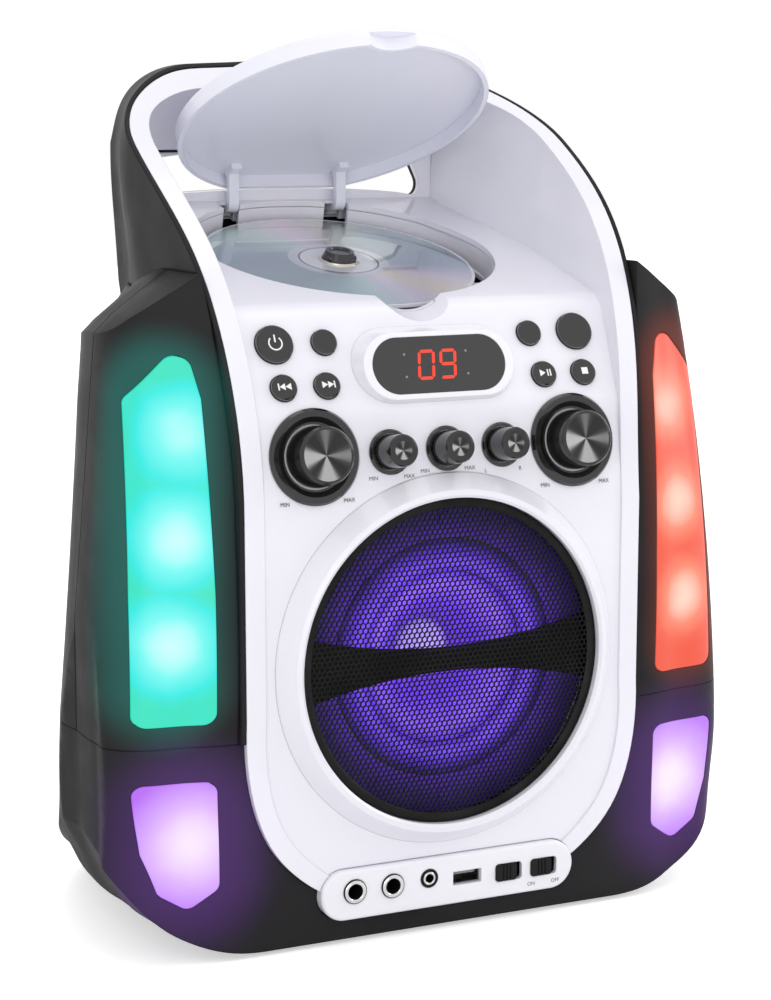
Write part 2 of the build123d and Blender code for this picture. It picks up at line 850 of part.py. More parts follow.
with BuildPart() as speaker_bezel:
    add(turned([
        (speaker_radius, -0.9), (speaker_radius + 1.2, 0), (speaker_radius + 3.4, -0.4),
        (bezel_base_radius - 0.8, 1 - panel_depth), (bezel_base_radius, -panel_depth),
        (speaker_radius + collar_wall, -panel_depth), (speaker_radius + collar_wall, -collar_depth),
        (speaker_radius, -collar_depth),
    ], speaker_plane))
save(speaker_bezel.part, "speaker_bezel")

with BuildPart() as speaker_grille:
    add(turned(ring(mesh_radius, speaker_radius - grille_fit, -mesh_depth - mesh_thickness - mesh_rim,
                    -mesh_depth + mesh_rim), speaker_plane))
    with BuildSketch(speaker_plane.offset(-mesh_depth - mesh_thickness)):
        Circle(mesh_radius + 0.5)
        cells = HexLocations(hole_pitch / 2, 15, 15).local_locations
        holes = [cell for cell in cells if cell.position.length < mesh_radius - hole_flat - 1.2]
        with Locations(*holes):
            RegularPolygon(hole_flat, 6, major_radius=False, rotation=30, mode=Mode.SUBTRACT)
    extrude(amount=mesh_thickness)
save(speaker_grille.part, "speaker_grille")

with BuildPart() as grille_crossbar:
    with BuildSketch(speaker_plane.offset(-bar_depth - bar_thickness)):
        with BuildLine():
            for side in (1, -1):
                ThreePointArc((-speaker_radius, side * bar_flare), (0, side * bar_half),
                              (speaker_radius, side * bar_flare))
                Line((side * speaker_radius, bar_flare), (side * speaker_radius, -bar_flare))
        make_face()
        Circle(speaker_radius - grille_fit, mode=Mode.INTERSECT)
    extrude(amount=bar_thickness)
save(grille_crossbar.part, "grille_crossbar")

with BuildPart() as speaker_led_ring:
    add(turned(ring(led_ring_inner, led_ring_outer, -collar_depth, -collar_depth + 1.6), speaker_plane))
    with BuildSketch(speaker_plane.offset(-collar_depth + 1.6)):
        with PolarLocations((led_ring_inner + led_ring_outer) / 2, 12):
            Rectangle(led_size, led_size)
    extrude(amount=1.2)
save(speaker_led_ring.part, "speaker_led_ring")

flange_back = -collar_depth - flange_thickness
with BuildPart() as speaker_basket:
    add(turned([
        (surround_outer - 1.5, -collar_depth), (speaker_radius + collar_wall, -collar_depth),
        (speaker_radius + collar_wall, flange_back), (surround_outer + 3, flange_back),
        (magnet_radius - 4, cage_back), (coil_radius + 3, cage_back), (coil_radius + 3, cage_back + 1.8),
        (magnet_radius - 5, cage_back + 1.8), (surround_outer, flange_back), (surround_outer - 1.5, flange_back),
    ], speaker_plane))
    with BuildSketch(speaker_plane.offset(cage_back + 4)):
        with PolarLocations(40, 6):
            Rectangle(26, 20)
    extrude(amount=flange_back - cage_back - 7, mode=Mode.SUBTRACT)
save(speaker_basket.part, "speaker_basket")

with BuildPart() as speaker_magnet:
    add(turned([
        (coil_radius + magnet_gap, cage_back), (magnet_radius, cage_back), (magnet_radius, magnet_back),
        (0, magnet_back), (0, cage_back - 1), (coil_radius - magnet_gap, cage_back - 1),
        (coil_radius - magnet_gap, magnet_back + 5), (coil_radius + magnet_gap, magnet_back + 5),
    ], speaker_plane))
save(speaker_magnet.part, "speaker_magnet")

surround_inner = cone_radius + clear
roll_middle = (surround_inner + surround_outer) / 2
lip_front = surround_lip - collar_depth
with BuildPart() as speaker_surround:
    with BuildSketch(Plane(origin=speaker_plane.origin, x_dir=(1, 0, 0), z_dir=(0, 0, -1))):
        with BuildLine():
            Polyline((surround_outer - surround_lip, -collar_depth), (surround_outer + 4, -collar_depth),
                     (surround_outer + 4, lip_front), (surround_outer, lip_front))
            ThreePointArc((surround_outer, lip_front), (roll_middle, lip_front + surround_roll),
                          (surround_inner, lip_front))
            Line((surround_inner, lip_front), (surround_inner, -collar_depth))
            ThreePointArc((surround_inner, -collar_depth), (roll_middle - 0.4, -collar_depth + surround_roll),
                          (surround_outer - surround_lip, -collar_depth))
        make_face()
    revolve(axis=Axis(speaker_plane.origin, (0, 1, 0)))
save(speaker_surround.part, "speaker_surround")

with BuildPart() as speaker_cone:
    add(turned([
        (cone_radius, cone_front), (cone_radius, cone_front - cone_wall), (coil_radius + 0.5, cone_back - cone_wall),
        (coil_radius + 0.5, coil_back), (coil_radius - 0.5, coil_back), (coil_radius - 0.5, cone_back - cone_wall),
        (0, cone_back + 2), (0, cone_back + 4.5), (4, cone_back + 4.2), (8, cone_back + 2.8),
        (coil_radius - 0.5, cone_back + 0.6), (coil_radius + 1, cone_back), (cone_radius - 6, cone_front - 2.4),
    ], speaker_plane))
save(speaker_cone.part, "speaker_cone")

# ---------------------------------------------------------------- disc well and mechanism
floor_thickness = 2.0
bay_gap = 0.25            # shadow line under the deck's lip
spindle_window = 20.0     # round opening in the floor, under the turntable
chassis_top = bay_floor - floor_thickness
chassis_thickness = 2.0
chassis_bottom = chassis_top - chassis_thickness
window_front = -20.0      # opening in the floor for the pickup, from the spindle
window_rear = 22.0
window_end = 65.4
sled_half = 6.5           # lens holder
sled_body = 11.0
sled_body_depth = 13.0
sled_bottom = -14.0
sled_top = -2.0
rail_spread = 9.0
rail_radius = 1.2
rail_level = -11.6
rail_start = 11.0
rail_end = 71.5
rack_line = 16.0          # the rack's pitch line, behind the spindle
rack_teeth = 17
rack_offset = 7           # teeth by which the rack's middle lies inside of the pinion at rest
gear_level = -13.6
gear_thickness = 2.6
wheel_level = -17.2
wheel_thickness = 2.4
post_radius = 1.0
tooth_share = 0.4         # tooth thickness on the pitch line, as a share of the pitch
pressure = tan(radians(20))
pinion_radius = gear_module * pinion_teeth / 2
wheel_radius = wheel_module * wheel_teeth / 2
motor_pinion_radius = wheel_module * motor_teeth / 2
gear_x = sled_inner + sled_travel / 2
gear_y = rack_line + pinion_radius
motor_y = gear_y + wheel_radius + motor_pinion_radius
turntable_radius = 14.5
hub_radius = disc_bore - 0.1
shaft_radius = 1.0
disc_half = disc_thickness / 2
spindle_motor_radius = 8.6
sled_motor_radius = 5.5

with BuildPart() as disc_bay:
    add(well_prism(well_radius + bay_wall, chassis_top, deck_rise - deck_wall - bay_gap))
    with BuildSketch(deck_side_plane(-120)):
        with Locations((well_chord + bay_wall + 50, 0)):
            Rectangle(100, 60)
    extrude(amount=240, mode=Mode.SUBTRACT)
    add(well_prism(well_radius, bay_floor, 40), mode=Mode.SUBTRACT)
    with BuildSketch(deck_plane(chassis_top)):
        Circle(spindle_window)
        with Locations(((12 + window_end) / 2, (window_front + window_rear) / 2)):
            Rectangle(window_end - 12, window_rear - window_front)
    extrude(amount=floor_thickness, mode=Mode.SUBTRACT)
    add(arm_slots(), mode=Mode.SUBTRACT)
    add(notch_prism(), mode=Mode.SUBTRACT)
save(disc_bay.part, "disc_bay")

with BuildPart() as mechanism_chassis:
    with BuildSketch(deck_plane(chassis_bottom)):
        with Locations((16, 5)):
            RectangleRounded(116, 66, 5)
        Circle(5.2, mode=Mode.SUBTRACT)
        with Locations(((rail_start + rail_end) / 2 - 0.5, -0.5)):
            Rectangle(rail_end - rail_start - 6, 2 * sled_body_depth + 2, mode=Mode.SUBTRACT)
    extrude(amount=chassis_thickness)
    # rail brackets, the rails and the gear's post
    with BuildSketch(deck_plane(chassis_bottom)):
        with Locations((rail_start - 1, 0), (rail_end + 1, 0)):
            Rectangle(2, 2 * rail_spread + 6)
    extrude(amount=rail_level - 2.2 - chassis_bottom)
    with BuildSketch(Plane(origin=deck_plane().from_local_coords((rail_start - 1, 0, 0)), x_dir=deck_plane().y_dir,
                           z_dir=(1, 0, 0))):
        with Locations((-rail_spread, rail_level), (rail_spread, rail_level)):
            Circle(rail_radius)
    extrude(amount=rail_end - rail_start + 2)
    with BuildSketch(deck_plane(wheel_level - 0.8)):
        with Locations((gear_x, gear_y)):
            Circle(post_radius)
    extrude(amount=chassis_bottom - wheel_level + 0.8 + 0.2)
save(mechanism_chassis.part, "mechanism_chassis")

with BuildPart() as mechanism_motors:
    add(turned([
        (shaft_radius + pin_clear, -19.0), (spindle_motor_radius, -19.0), (spindle_motor_radius, chassis_bottom),
        (5.0, chassis_bottom), (5.0, chassis_top), (2.4, chassis_top), (2.4, bay_floor),
        (shaft_radius + pin_clear, bay_floor),
    ], deck_plane()))
    add(turned([
        (0, -14.0), (0, chassis_bottom), (sled_motor_radius, chassis_bottom), (sled_motor_radius, -13.4),
        (1.0, -13.4), (1.0, -14.0),
    ], deck_plane(), gear_x, motor_y))
save(mechanism_motors.part, "mechanism_motors")

with BuildPart() as disc:
    with BuildSketch(deck_plane(-disc_half)):
        Circle(disc_radius)
        Circle(disc_bore, mode=Mode.SUBTRACT)
    extrude(amount=disc_thickness)
    add(turned(ring(16.4, 17.4, -disc_half - 0.25, 0), deck_plane()))
save(disc.part, "disc")

with BuildPart() as spindle_hub:
    add(turned([
        (0, -12), (shaft_radius, -12), (shaft_radius, -4), (turntable_radius - 1, -4), (turntable_radius, -3.2),
        (turntable_radius, -disc_half), (hub_radius, -disc_half), (hub_radius, 1.8), (hub_radius - 1.2, 5),
        (5.0, 5), (4.4, 4.2), (0, 4.2),
    ], deck_plane()))
    for angle in (90, 210, 330):
        spot = (6.3 * cos(radians(angle)), 6.3 * sin(radians(angle)), 2.4)
        with Locations(deck_plane().from_local_coords(spot)):
            Sphere(1.5)
save(spindle_hub.part, "spindle_hub")

with BuildPart() as pickup_sled:
    with BuildSketch(deck_plane(sled_bottom)):
        with Locations((sled_inner, 0)):
            Rectangle(2 * sled_body, 2 * sled_body_depth)
    extrude(amount=chassis_bottom - 0.3 - sled_bottom)
    with BuildSketch(deck_plane(chassis_bottom - 0.5)):
        with Locations((sled_inner, 0)):
            Rectangle(2 * sled_half, 2 * sled_half + 5)
    extrude(amount=sled_top - 1 - chassis_bottom + 0.5)
    add(turned(ring(0, 2.6, sled_top - 1.5, sled_top), deck_plane(), sled_inner))
    with BuildSketch(deck_side_plane(sled_inner - sled_body)):
        with Locations((-rail_spread, rail_level), (rail_spread, rail_level)):
            Circle(rail_radius + pin_clear)
    extrude(amount=2 * sled_body, mode=Mode.SUBTRACT)
    # rack, cut so that a gap faces the pinion
    pitch = pi * gear_module
    first_tooth = gear_x - (rack_teeth // 2 + rack_offset - 0.5) * pitch
    with BuildSketch(deck_plane(gear_level)):
        with Locations((first_tooth + (rack_teeth - 1) * pitch / 2,
                        (sled_body_depth + rack_line - 1.25 * gear_module) / 2)):
            Rectangle(rack_teeth * pitch, rack_line - 1.25 * gear_module - sled_body_depth + 0.4)
        half_tooth = tooth_share * pitch / 2
        root = 1.25 * gear_module
        tip = 0.85 * gear_module
        for tooth in range(rack_teeth):
            with Locations((first_tooth + tooth * pitch, rack_line)):
                Polygon((-half_tooth - root * pressure, -root), (half_tooth + root * pressure, -root),
                        (half_tooth - tip * pressure, tip), (-half_tooth + tip * pressure, tip), align=None)
    extrude(amount=gear_thickness)
save(pickup_sled.part, "pickup_sled")


def gear(module, teeth, level, thickness, x, y, first_angle, bore):
    """A spur gear lying on a level above the disc's middle, with a tooth centred on first_angle."""
    radius = module * teeth / 2
    root = radius - 1.25 * module
    tip = radius + 0.85 * module
    half_tooth = tooth_share * pi * module / 2
    middle = Location(deck_plane(level)) * Location((x, y, 0))
    with BuildPart() as wheel:
        with BuildSketch(Plane(middle)):
            Circle(root)
            with PolarLocations(0, teeth, start_angle=first_angle):
                Polygon((root - 0.2, -half_tooth - (radius - root) * pressure),
                        (tip, -half_tooth + (tip - radius) * pressure),
                        (tip, half_tooth - (tip - radius) * pressure),
                        (root - 0.2, half_tooth + (radius - root) * pressure), align=None)
            Circle(bore, mode=Mode.SUBTRACT)
        extrude(amount=thickness)
    return wheel.part


with BuildPart() as sled_gear:
    add(gear(gear_module, pinion_teeth, gear_level, gear_thickness, gear_x, gear_y, -90, post_radius + pin_clear))
    add(gear(wheel_module, wheel_teeth, wheel_level, wheel_thickness, gear_x, gear_y,
             90 + 180 / wheel_teeth, post_radius + pin_clear))
    add(turned(ring(post_radius + pin_clear, 2.4, wheel_level, gear_level + gear_thickness), deck_plane(),
               gear_x, gear_y))
save(sled_gear.part, "sled_gear")

with BuildPart() as motor_pinion:
    add(gear(wheel_module, motor_teeth, wheel_level, wheel_thickness, gear_x, motor_y, -90, 0.4))
    add(turned(ring(0, 0.6, wheel_level, -14.1), deck_plane(), gear_x, motor_y))
save(motor_pinion.part, "motor_pinion")

# ---------------------------------------------------------------- lid
scoop_radius = 16.0
scoop_away = 11.0         # middle of the finger scoop, outside the rim
scoop_wall = 2.2
bend_back = hinge_back - 9.9
bend_rise = hinge_rise - 4.0
strap_lean = tan(radians(lid_open - deck_tilt))
strap_top = closed_rise - lid_wall / 2


def lid_outline(inset=0.0):
    """The lid's round plate, cut straight on the hinge side."""
    with BuildSketch() as outline:
        Circle(lid_radius - inset)
        with Locations((0, lid_chord - inset + 50)):
            Rectangle(2 * lid_radius, 100, mode=Mode.SUBTRACT)
    return outline.sketch


def on_lid(back, rise):
    """A point given behind the spindle and above the disc when the lid is shut, in the lid's own side view."""
    return back - lid_shift, rise - closed_rise


with BuildPart() as lid:
    with BuildSketch(lid_plane(-lid_skirt)):
        add(lid_outline())
    extrude(amount=lid_skirt)
    top_face = lid.faces().sort_by(Axis(lid_plane().origin, lid_plane().z_dir))[-1]
    fillet(top_face.edges(), 1.8)
    with BuildSketch(lid_plane(-lid_skirt)):
        add(lid_outline(lid_wall))
        with Locations((0, -lid_radius - scoop_away)):
            Circle(scoop_radius + scoop_wall, mode=Mode.SUBTRACT)
    extrude(amount=lid_skirt - lid_wall, mode=Mode.SUBTRACT)
    with BuildSketch(lid_plane(-lid_skirt)):
        with Locations((0, -lid_radius - scoop_away)):
            Circle(scoop_radius)
    extrude(amount=lid_skirt - lid_wall, mode=Mode.SUBTRACT)
    for side in (1, -1):
        with BuildSketch(lid_side_plane(side * hinge_x - arm_width / 2)):
            with BuildLine():
                FilletPolyline(on_lid(bend_back - (strap_top - bend_rise) * strap_lean, strap_top),
                               on_lid(bend_back, bend_rise), on_lid(hinge_back, hinge_rise), radius=3)
            trace(line_width=arm_thickness)
            with Locations(on_lid(hinge_back, hinge_rise)):
                Circle(eye_radius)
            with Locations((on_lid(bend_back - (strap_top - bend_rise) * strap_lean, 0)[0], -lid_wall - 1.2)):
                Rectangle(9, 3)
            with Locations(on_lid(hinge_back, hinge_rise)):
                Circle(pin_radius + pin_clear, mode=Mode.SUBTRACT)
        extrude(amount=arm_width)
save(lid.part, "lid")

with BuildPart() as hinge_pins:
    for side in (1, -1):
        with BuildSketch(deck_side_plane(side * hinge_x - lug_half)):
            with Locations((hinge_back, hinge_rise)):
                Circle(pin_radius)
        extrude(amount=2 * lug_half)
save(hinge_pins.part, "hinge_pins")

# ---------------------------------------------------------------- display
bezel_front = (68.0, 27.5)
window_depth = 1.6
window_fit = 0.15
led_block = (25.0, 16.0)
with BuildPart() as display_bezel:
    with BuildSketch(display_plane):
        SlotOverall(*bezel_front)
    with BuildSketch(display_plane.offset(-12)):
        SlotOverall(bezel_size[0] + 5, bezel_size[1] + 5)
    loft()
    with BuildSketch(side_plane(-60)):
        add(front_surface())
    extrude(amount=120, mode=Mode.SUBTRACT)
    with BuildSketch(display_plane):
        SlotOverall(window_size[0] + 2 * window_fit, window_size[1] + 2 * window_fit)
    extrude(amount=-window_depth, mode=Mode.SUBTRACT)
    with BuildSketch(display_plane):
        SlotOverall(window_size[0] - 4, window_size[1] - 4)
    extrude(amount=-20, mode=Mode.SUBTRACT)
save(display_bezel.part, "display_bezel")

with BuildPart() as display_window:
    with BuildSketch(display_plane.offset(-window_depth)):
        SlotOverall(*window_size)
    extrude(amount=window_depth - 0.1)
save(display_window.part, "display_window")

with BuildPart() as display_module:
    with BuildSketch(display_plane.offset(-window_depth - 7)):
        with Locations((-2.5, 0)):
            Rectangle(*led_block)
    extrude(amount=7)
    with BuildSketch(display_plane.offset(-window_depth - 8.6)):
        Rectangle(47, 15)
    extrude(amount=1.6)
save(display_module.part, "display_module")

# ---------------------------------------------------------------- buttons
cap_proud = 2.4
cap_edge = 0.5
flange_extra = 1.4
button_seat = 0.1         # between a button's flange and the back of the panel at rest
button_flange = 1.2
stem_radius = 2.0
stem_end = -7.4
switch_gap = button_travel + 0.15
board_level = -12.0
board_thickness = 1.6

for name, (x, row, radius) in button_layout.items():
    flange_top = -deck_wall - button_seat
    flange_radius = radius + flange_extra
    with BuildPart() as button:
        add(turned([
            (0, cap_proud), (radius - cap_edge, cap_proud), (radius, cap_proud - cap_edge), (radius, flange_top),
            (flange_radius, flange_top), (flange_radius, flange_top - button_flange),
            (stem_radius, flange_top - button_flange), (stem_radius, stem_end), (0, stem_end),
        ], button_plane, x, row * row_pitch))
    save(button.part, name)

with BuildPart() as button_board:
    with BuildSketch(button_plane.offset(board_level)):
        with Locations((0, row_pitch / 2)):
            Rectangle(156, 30)
    extrude(amount=-board_thickness)
    for x, row, _ in button_layout.values():
        with BuildSketch(button_plane.offset(board_level)):
            with Locations((x, row * row_pitch)):
                Rectangle(6, 6)
        extrude(amount=2.6)
        with BuildSketch(button_plane.offset(board_level)):
            with Locations((x, row * row_pitch)):
                Circle(1.7)
        extrude(amount=stem_end - switch_gap - board_level)
save(button_board.part, "button_board")

# ---------------------------------------------------------------- knobs
knob_lift = 0.9
big_height = 13.6
small_height = 13.4
knob_shaft = 2.95
shaft_clear = 0.05
bushing_fit = 0.6
shaft_end = -9.6
pot_radius = 8.5
pot_depth = 8.0
dial_gap = 0.7

with BuildPart() as knob_dials:
    for x, cap, dial in knob_layout.values():
        if dial > 12:
            section = [(cap + dial_gap, 0), (dial, 0), (dial, 1.0), (dial - 1, 2.3), (dial - 3.4, 2.1),
                       (cap + dial_gap + 0.8, 0.9), (cap + dial_gap, 0.9)]
        else:
            section = [(dial - 1.6, 0), (dial, 0), (dial, 1.0), (dial - 0.6, 1.7), (dial - 1.6, 1.7)]
        add(turned(section, knob_plane, x))
save(knob_dials.part, "knob_dials")

for name, (x, cap, dial) in knob_layout.items():
    if dial > 12:
        profile = [(cap, knob_lift), (cap, 3), (cap - 0.8, big_height - 1), (cap - 1.5, big_height),
                   (cap - 2.2, big_height - 0.2), (0, big_height - 1.6)]
    else:
        profile = [(dial - 2.0, knob_lift), (dial - 2.2, 4.2), (cap + 0.5, small_height - 0.8), (cap, small_height),
                   (cap - 0.6, small_height - 0.15), (0, small_height - 0.9)]
    with BuildPart() as knob:
        add(turned([(0, shaft_end), (knob_shaft, shaft_end), (knob_shaft, knob_lift), *profile], knob_plane, x))
    save(knob.part, name)

with BuildPart() as potentiometers:
    for x, _, _ in knob_layout.values():
        add(turned([
            (0, -deck_wall - pot_depth), (pot_radius, -deck_wall - pot_depth), (pot_radius, -deck_wall),
            (bushing_radius - bushing_fit, -deck_wall), (bushing_radius - bushing_fit, 0.2),
            (knob_shaft + shaft_clear, 0.2), (knob_shaft + shaft_clear, shaft_end - 0.2), (0, shaft_end - 0.2),
        ], knob_plane, x))
save(potentiometers.part, "potentiometers")

# ---------------------------------------------------------------- jack panel
jack_wall = 2.2
jack_panel_back = 16.0
panel_back = pill_face + jack_wall
microphone_x = (-43.8, -26.7)
microphone_height = 23.2
microphone_bore = 3.2
microphone_length = 28.0
nose_radius = 5.0
nose_proud = 0.7
nose_fit = 0.15
jack_board_top = 15.6
jack_board_thickness = 1.6
aux_x = -9.9
aux_height = 24.0
aux_bore = 1.8
aux_length = 14.0
aux_nose = 3.9
usb_x = 7.8
usb_height = 22.2
usb_slot = (12.4, 5.0)
usb_depth = 12.0
switch_centres = {"function_switch": 27.4, "light_switch": 44.1}
switch_height = 21.7
switch_hole = (12.6, 7.6)
switch_cap = (9.4, 7.0)
switch_start = -1.4       # a cap's middle at rest, from the middle of its opening
switch_plate = 0.9
switch_proud = 1.0

with BuildPart() as jack_panel:
    with BuildSketch(front_plane(jack_panel_back)):
        with Locations((0, pill_middle)):
            SlotOverall(pill_length, pill_height)
    extrude(amount=jack_panel_back - pill_face)
    face_edges = jack_panel.faces().sort_by(Axis.Y)[0].edges()
    fillet(face_edges, 1.5)
    with BuildSketch(front_plane(jack_panel_back)):
        with Locations((0, pill_middle)):
            SlotOverall(pill_length - 2 * jack_wall, pill_height - 2 * jack_wall)
    extrude(amount=jack_panel_back - panel_back, mode=Mode.SUBTRACT)
    with BuildSketch(front_plane(jack_panel_back)):
        with Locations(*[(x, microphone_height) for x in microphone_x]):
            Circle(nose_radius + nose_fit)
        with Locations((aux_x, aux_height)):
            Circle(aux_nose + nose_fit)
        with Locations((usb_x, usb_height)):
            Rectangle(usb_slot[0] + 0.8, usb_slot[1] + 0.8)
        with Locations(*[(x, switch_height) for x in switch_centres.values()]):
            RectangleRounded(*switch_hole, 1.6)
    extrude(amount=reach, mode=Mode.SUBTRACT)
save(jack_panel.part, "jack_panel")


def jack(x, height, nose, bore, length, half_width, proud):
    """A jack socket: a round nose through the panel and a body standing on the board behind it."""
    front = pill_face - proud
    with BuildPart() as socket:
        with BuildSketch(front_plane(front + length + 2)):
            with Locations((x, (height + nose + jack_board_top) / 2)):
                Rectangle(2 * half_width, height + nose - jack_board_top)
        extrude(amount=front + length + 2 - panel_back)
        with BuildSketch(front_plane(panel_back + 0.5)):
            with Locations((x, height)):
                Circle(nose)
        extrude(amount=panel_back + 0.5 - front)
        with BuildSketch(front_plane(front + length)):
            with Locations((x, height)):
                Circle(bore)
        extrude(amount=length + 5, mode=Mode.SUBTRACT)
    return socket.part


with BuildPart() as microphone_jacks:
    for x in microphone_x:
        add(jack(x, microphone_height, nose_radius, microphone_bore, microphone_length, 6.7, nose_proud))
save(microphone_jacks.part, "microphone_jacks")

with BuildPart() as aux_jack:
    add(jack(aux_x, aux_height, aux_nose, aux_bore, aux_length, 5.0, 0.3))
save(aux_jack.part, "aux_jack")

with BuildPart() as usb_port:
    with BuildSketch(front_plane(panel_back + usb_depth)):
        with Locations((usb_x, (usb_height + usb_slot[1] / 2 + 1 + jack_board_top) / 2)):
            Rectangle(usb_slot[0] + 2, usb_height + usb_slot[1] / 2 + 1 - jack_board_top)
    extrude(amount=usb_depth)
    with BuildSketch(front_plane(panel_back + usb_depth - 1)):
        with Locations((usb_x, usb_height)):
            Rectangle(*usb_slot)
    extrude(amount=usb_depth, mode=Mode.SUBTRACT)
    with BuildSketch(front_plane(panel_back + usb_depth - 0.5)):
        with Locations((usb_x, usb_height + usb_slot[1] / 2 - 1.3)):
            Rectangle(usb_slot[0] - 1.4, 1.4)
    extrude(amount=usb_depth - 2)
save(usb_port.part, "usb_port")

body_front = panel_back + 0.2 + switch_plate + 0.3
with BuildPart() as slide_switches:
    for x in switch_centres.values():
        with BuildSketch(front_plane(body_front + 6)):
            with Locations((x, (switch_height + 4.4 + jack_board_top) / 2)):
                Rectangle(13, switch_height + 4.4 - jack_board_top)
        extrude(amount=6)
        with BuildSketch(front_plane(body_front + 3)):
            with Locations((x, switch_height)):
                Rectangle(3.4 + switch_travel + 0.4, 3.4)
        extrude(amount=3, mode=Mode.SUBTRACT)
save(slide_switches.part, "slide_switches")

for name, centre in switch_centres.items():
    rest = centre + switch_start
    with BuildPart() as slider:
        with BuildSketch(front_plane(panel_back + 0.2)):
            with Locations((rest, switch_height)):
                RectangleRounded(*switch_cap, 1.2)
        extrude(amount=panel_back + 0.2 - pill_face + switch_proud)
        with BuildSketch(front_plane(pill_face - switch_proud + 0.5)):
            with Locations((rest - 1.6, switch_height), (rest, switch_height), (rest + 1.6, switch_height)):
                Rectangle(0.7, switch_cap[1])
        extrude(amount=2, mode=Mode.SUBTRACT)
        with BuildSketch(front_plane(panel_back + 0.2 + switch_plate)):
            with Locations((rest, switch_height)):
                Rectangle(13.4, 10)
        extrude(amount=switch_plate)
        with BuildSketch(front_plane(body_front + 2.6)):
            with Locations((rest, switch_height)):
                Rectangle(3, 3)
        extrude(amount=2.6 + 0.3 + 0.2)
    save(slider.part, name)

# ---------------------------------------------------------------- boards and rear sockets
with BuildPart() as main_board:
    with BuildSketch(plan_plane(jack_board_top - jack_board_thickness)):
        with Locations((0, 24)):
            Rectangle(98, 31)
        with Locations((0, 94)):
            Rectangle(140, 112)
    extrude(amount=jack_board_thickness)
    with BuildSketch(plan_plane(jack_board_top)):
        with Locations((-30, 80)):
            Rectangle(40, 12)
        with Locations((20, 70), (20, 84), (36, 78)):
            Circle(5)
    extrude(amount=16)
    with BuildSketch(plan_plane(jack_board_top)):
        with Locations((0, 120)):
            Rectangle(14, 14)
        with Locations((-34, 120)):
            Rectangle(20, 8)
    extrude(amount=2)
save(main_board.part, "main_board")

rear_board_depth = 168.0
rear_socket_front = 180.4
with BuildPart() as rear_board:
    with BuildSketch(front_plane(rear_board_depth + 1.6)):
        with Locations(((inlet_x + rear_jack_x[0]) / 2, 35)):
            Rectangle(inlet_x - rear_jack_x[0] + 16, 60.8)
    extrude(amount=1.6)
save(rear_board.part, "rear_board")


def rear_socket(x, body_half, sleeve, bore, end, length):
    """A socket on the rear board: a body, and a sleeve through the back of the base."""
    with BuildPart() as socket:
        with BuildSketch(front_plane(rear_socket_front)):
            with Locations((x, rear_jack_height)):
                Rectangle(2 * body_half, 2 * body_half)
        extrude(amount=rear_socket_front - rear_board_depth - 1.6)
        with BuildSketch(front_plane(end)):
            with Locations((x, rear_jack_height)):
                Circle(sleeve)
        extrude(amount=end - rear_socket_front)
        with BuildSketch(front_plane(end)):
            with Locations((x, rear_jack_height)):
                Circle(bore)
        extrude(amount=length, mode=Mode.SUBTRACT)
    return socket.part


with BuildPart() as rear_jacks:
    for x in rear_jack_x:
        add(rear_socket(x, 6.0, 4.15, 1.6, 191.0, 9.0))
save(rear_jacks.part, "rear_jacks")

with BuildPart() as dc_inlet:
    add(rear_socket(inlet_x, 6.2, 5.4, 2.75, 184.4, 9.5))
save(dc_inlet.part, "dc_inlet")
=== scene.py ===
"""Looks for the karaoke machine with a disc tray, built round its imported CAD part."""
import math

import bmesh
import bpy
from mathutils import Matrix, Vector


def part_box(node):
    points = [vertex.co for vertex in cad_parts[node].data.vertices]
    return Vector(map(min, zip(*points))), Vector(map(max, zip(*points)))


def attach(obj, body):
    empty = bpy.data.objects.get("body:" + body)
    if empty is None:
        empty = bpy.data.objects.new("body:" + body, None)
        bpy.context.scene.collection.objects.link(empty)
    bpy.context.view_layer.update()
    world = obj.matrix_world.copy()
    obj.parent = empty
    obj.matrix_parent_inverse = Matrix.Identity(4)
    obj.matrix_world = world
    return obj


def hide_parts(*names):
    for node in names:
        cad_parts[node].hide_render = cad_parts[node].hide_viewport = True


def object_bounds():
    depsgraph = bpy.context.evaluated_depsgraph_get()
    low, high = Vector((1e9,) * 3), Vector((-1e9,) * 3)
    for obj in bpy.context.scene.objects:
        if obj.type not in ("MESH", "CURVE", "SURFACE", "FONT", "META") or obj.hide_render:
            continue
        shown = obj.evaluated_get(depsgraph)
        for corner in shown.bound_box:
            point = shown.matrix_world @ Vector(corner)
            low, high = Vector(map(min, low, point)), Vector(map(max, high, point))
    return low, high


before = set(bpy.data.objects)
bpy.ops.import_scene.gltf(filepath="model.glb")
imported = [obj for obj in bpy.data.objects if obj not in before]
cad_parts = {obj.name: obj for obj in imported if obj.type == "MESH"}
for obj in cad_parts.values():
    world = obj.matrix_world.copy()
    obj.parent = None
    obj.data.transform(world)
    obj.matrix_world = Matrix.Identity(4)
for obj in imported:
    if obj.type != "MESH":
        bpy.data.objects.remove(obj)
cad_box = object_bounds()

MM = 0.001
BAFFLE = -93.0            # speaker baffle plane in the part's frame, mm

# ------------------------------------------------------------------ construction planes


def plane(depth, height, lean, x=0.0):
    """Local x across, y up the face, z out of it; lean is how far the face leans back, in degrees."""
    a = math.radians(lean)
    columns = (Vector((1, 0, 0)), Vector((0, math.sin(a), math.cos(a))),
               Vector((0, -math.cos(a), math.sin(a))))
    turn = Matrix(columns).transposed().to_4x4()
    return Matrix.Translation(Vector((x, BAFFLE + depth, height)) * MM) @ turn


def shifted(matrix, x=0.0, y=0.0, z=0.0):
    """The same plane moved along its own axes, in mm."""
    return matrix @ Matrix.Translation(Vector((x, y, z)) * MM)


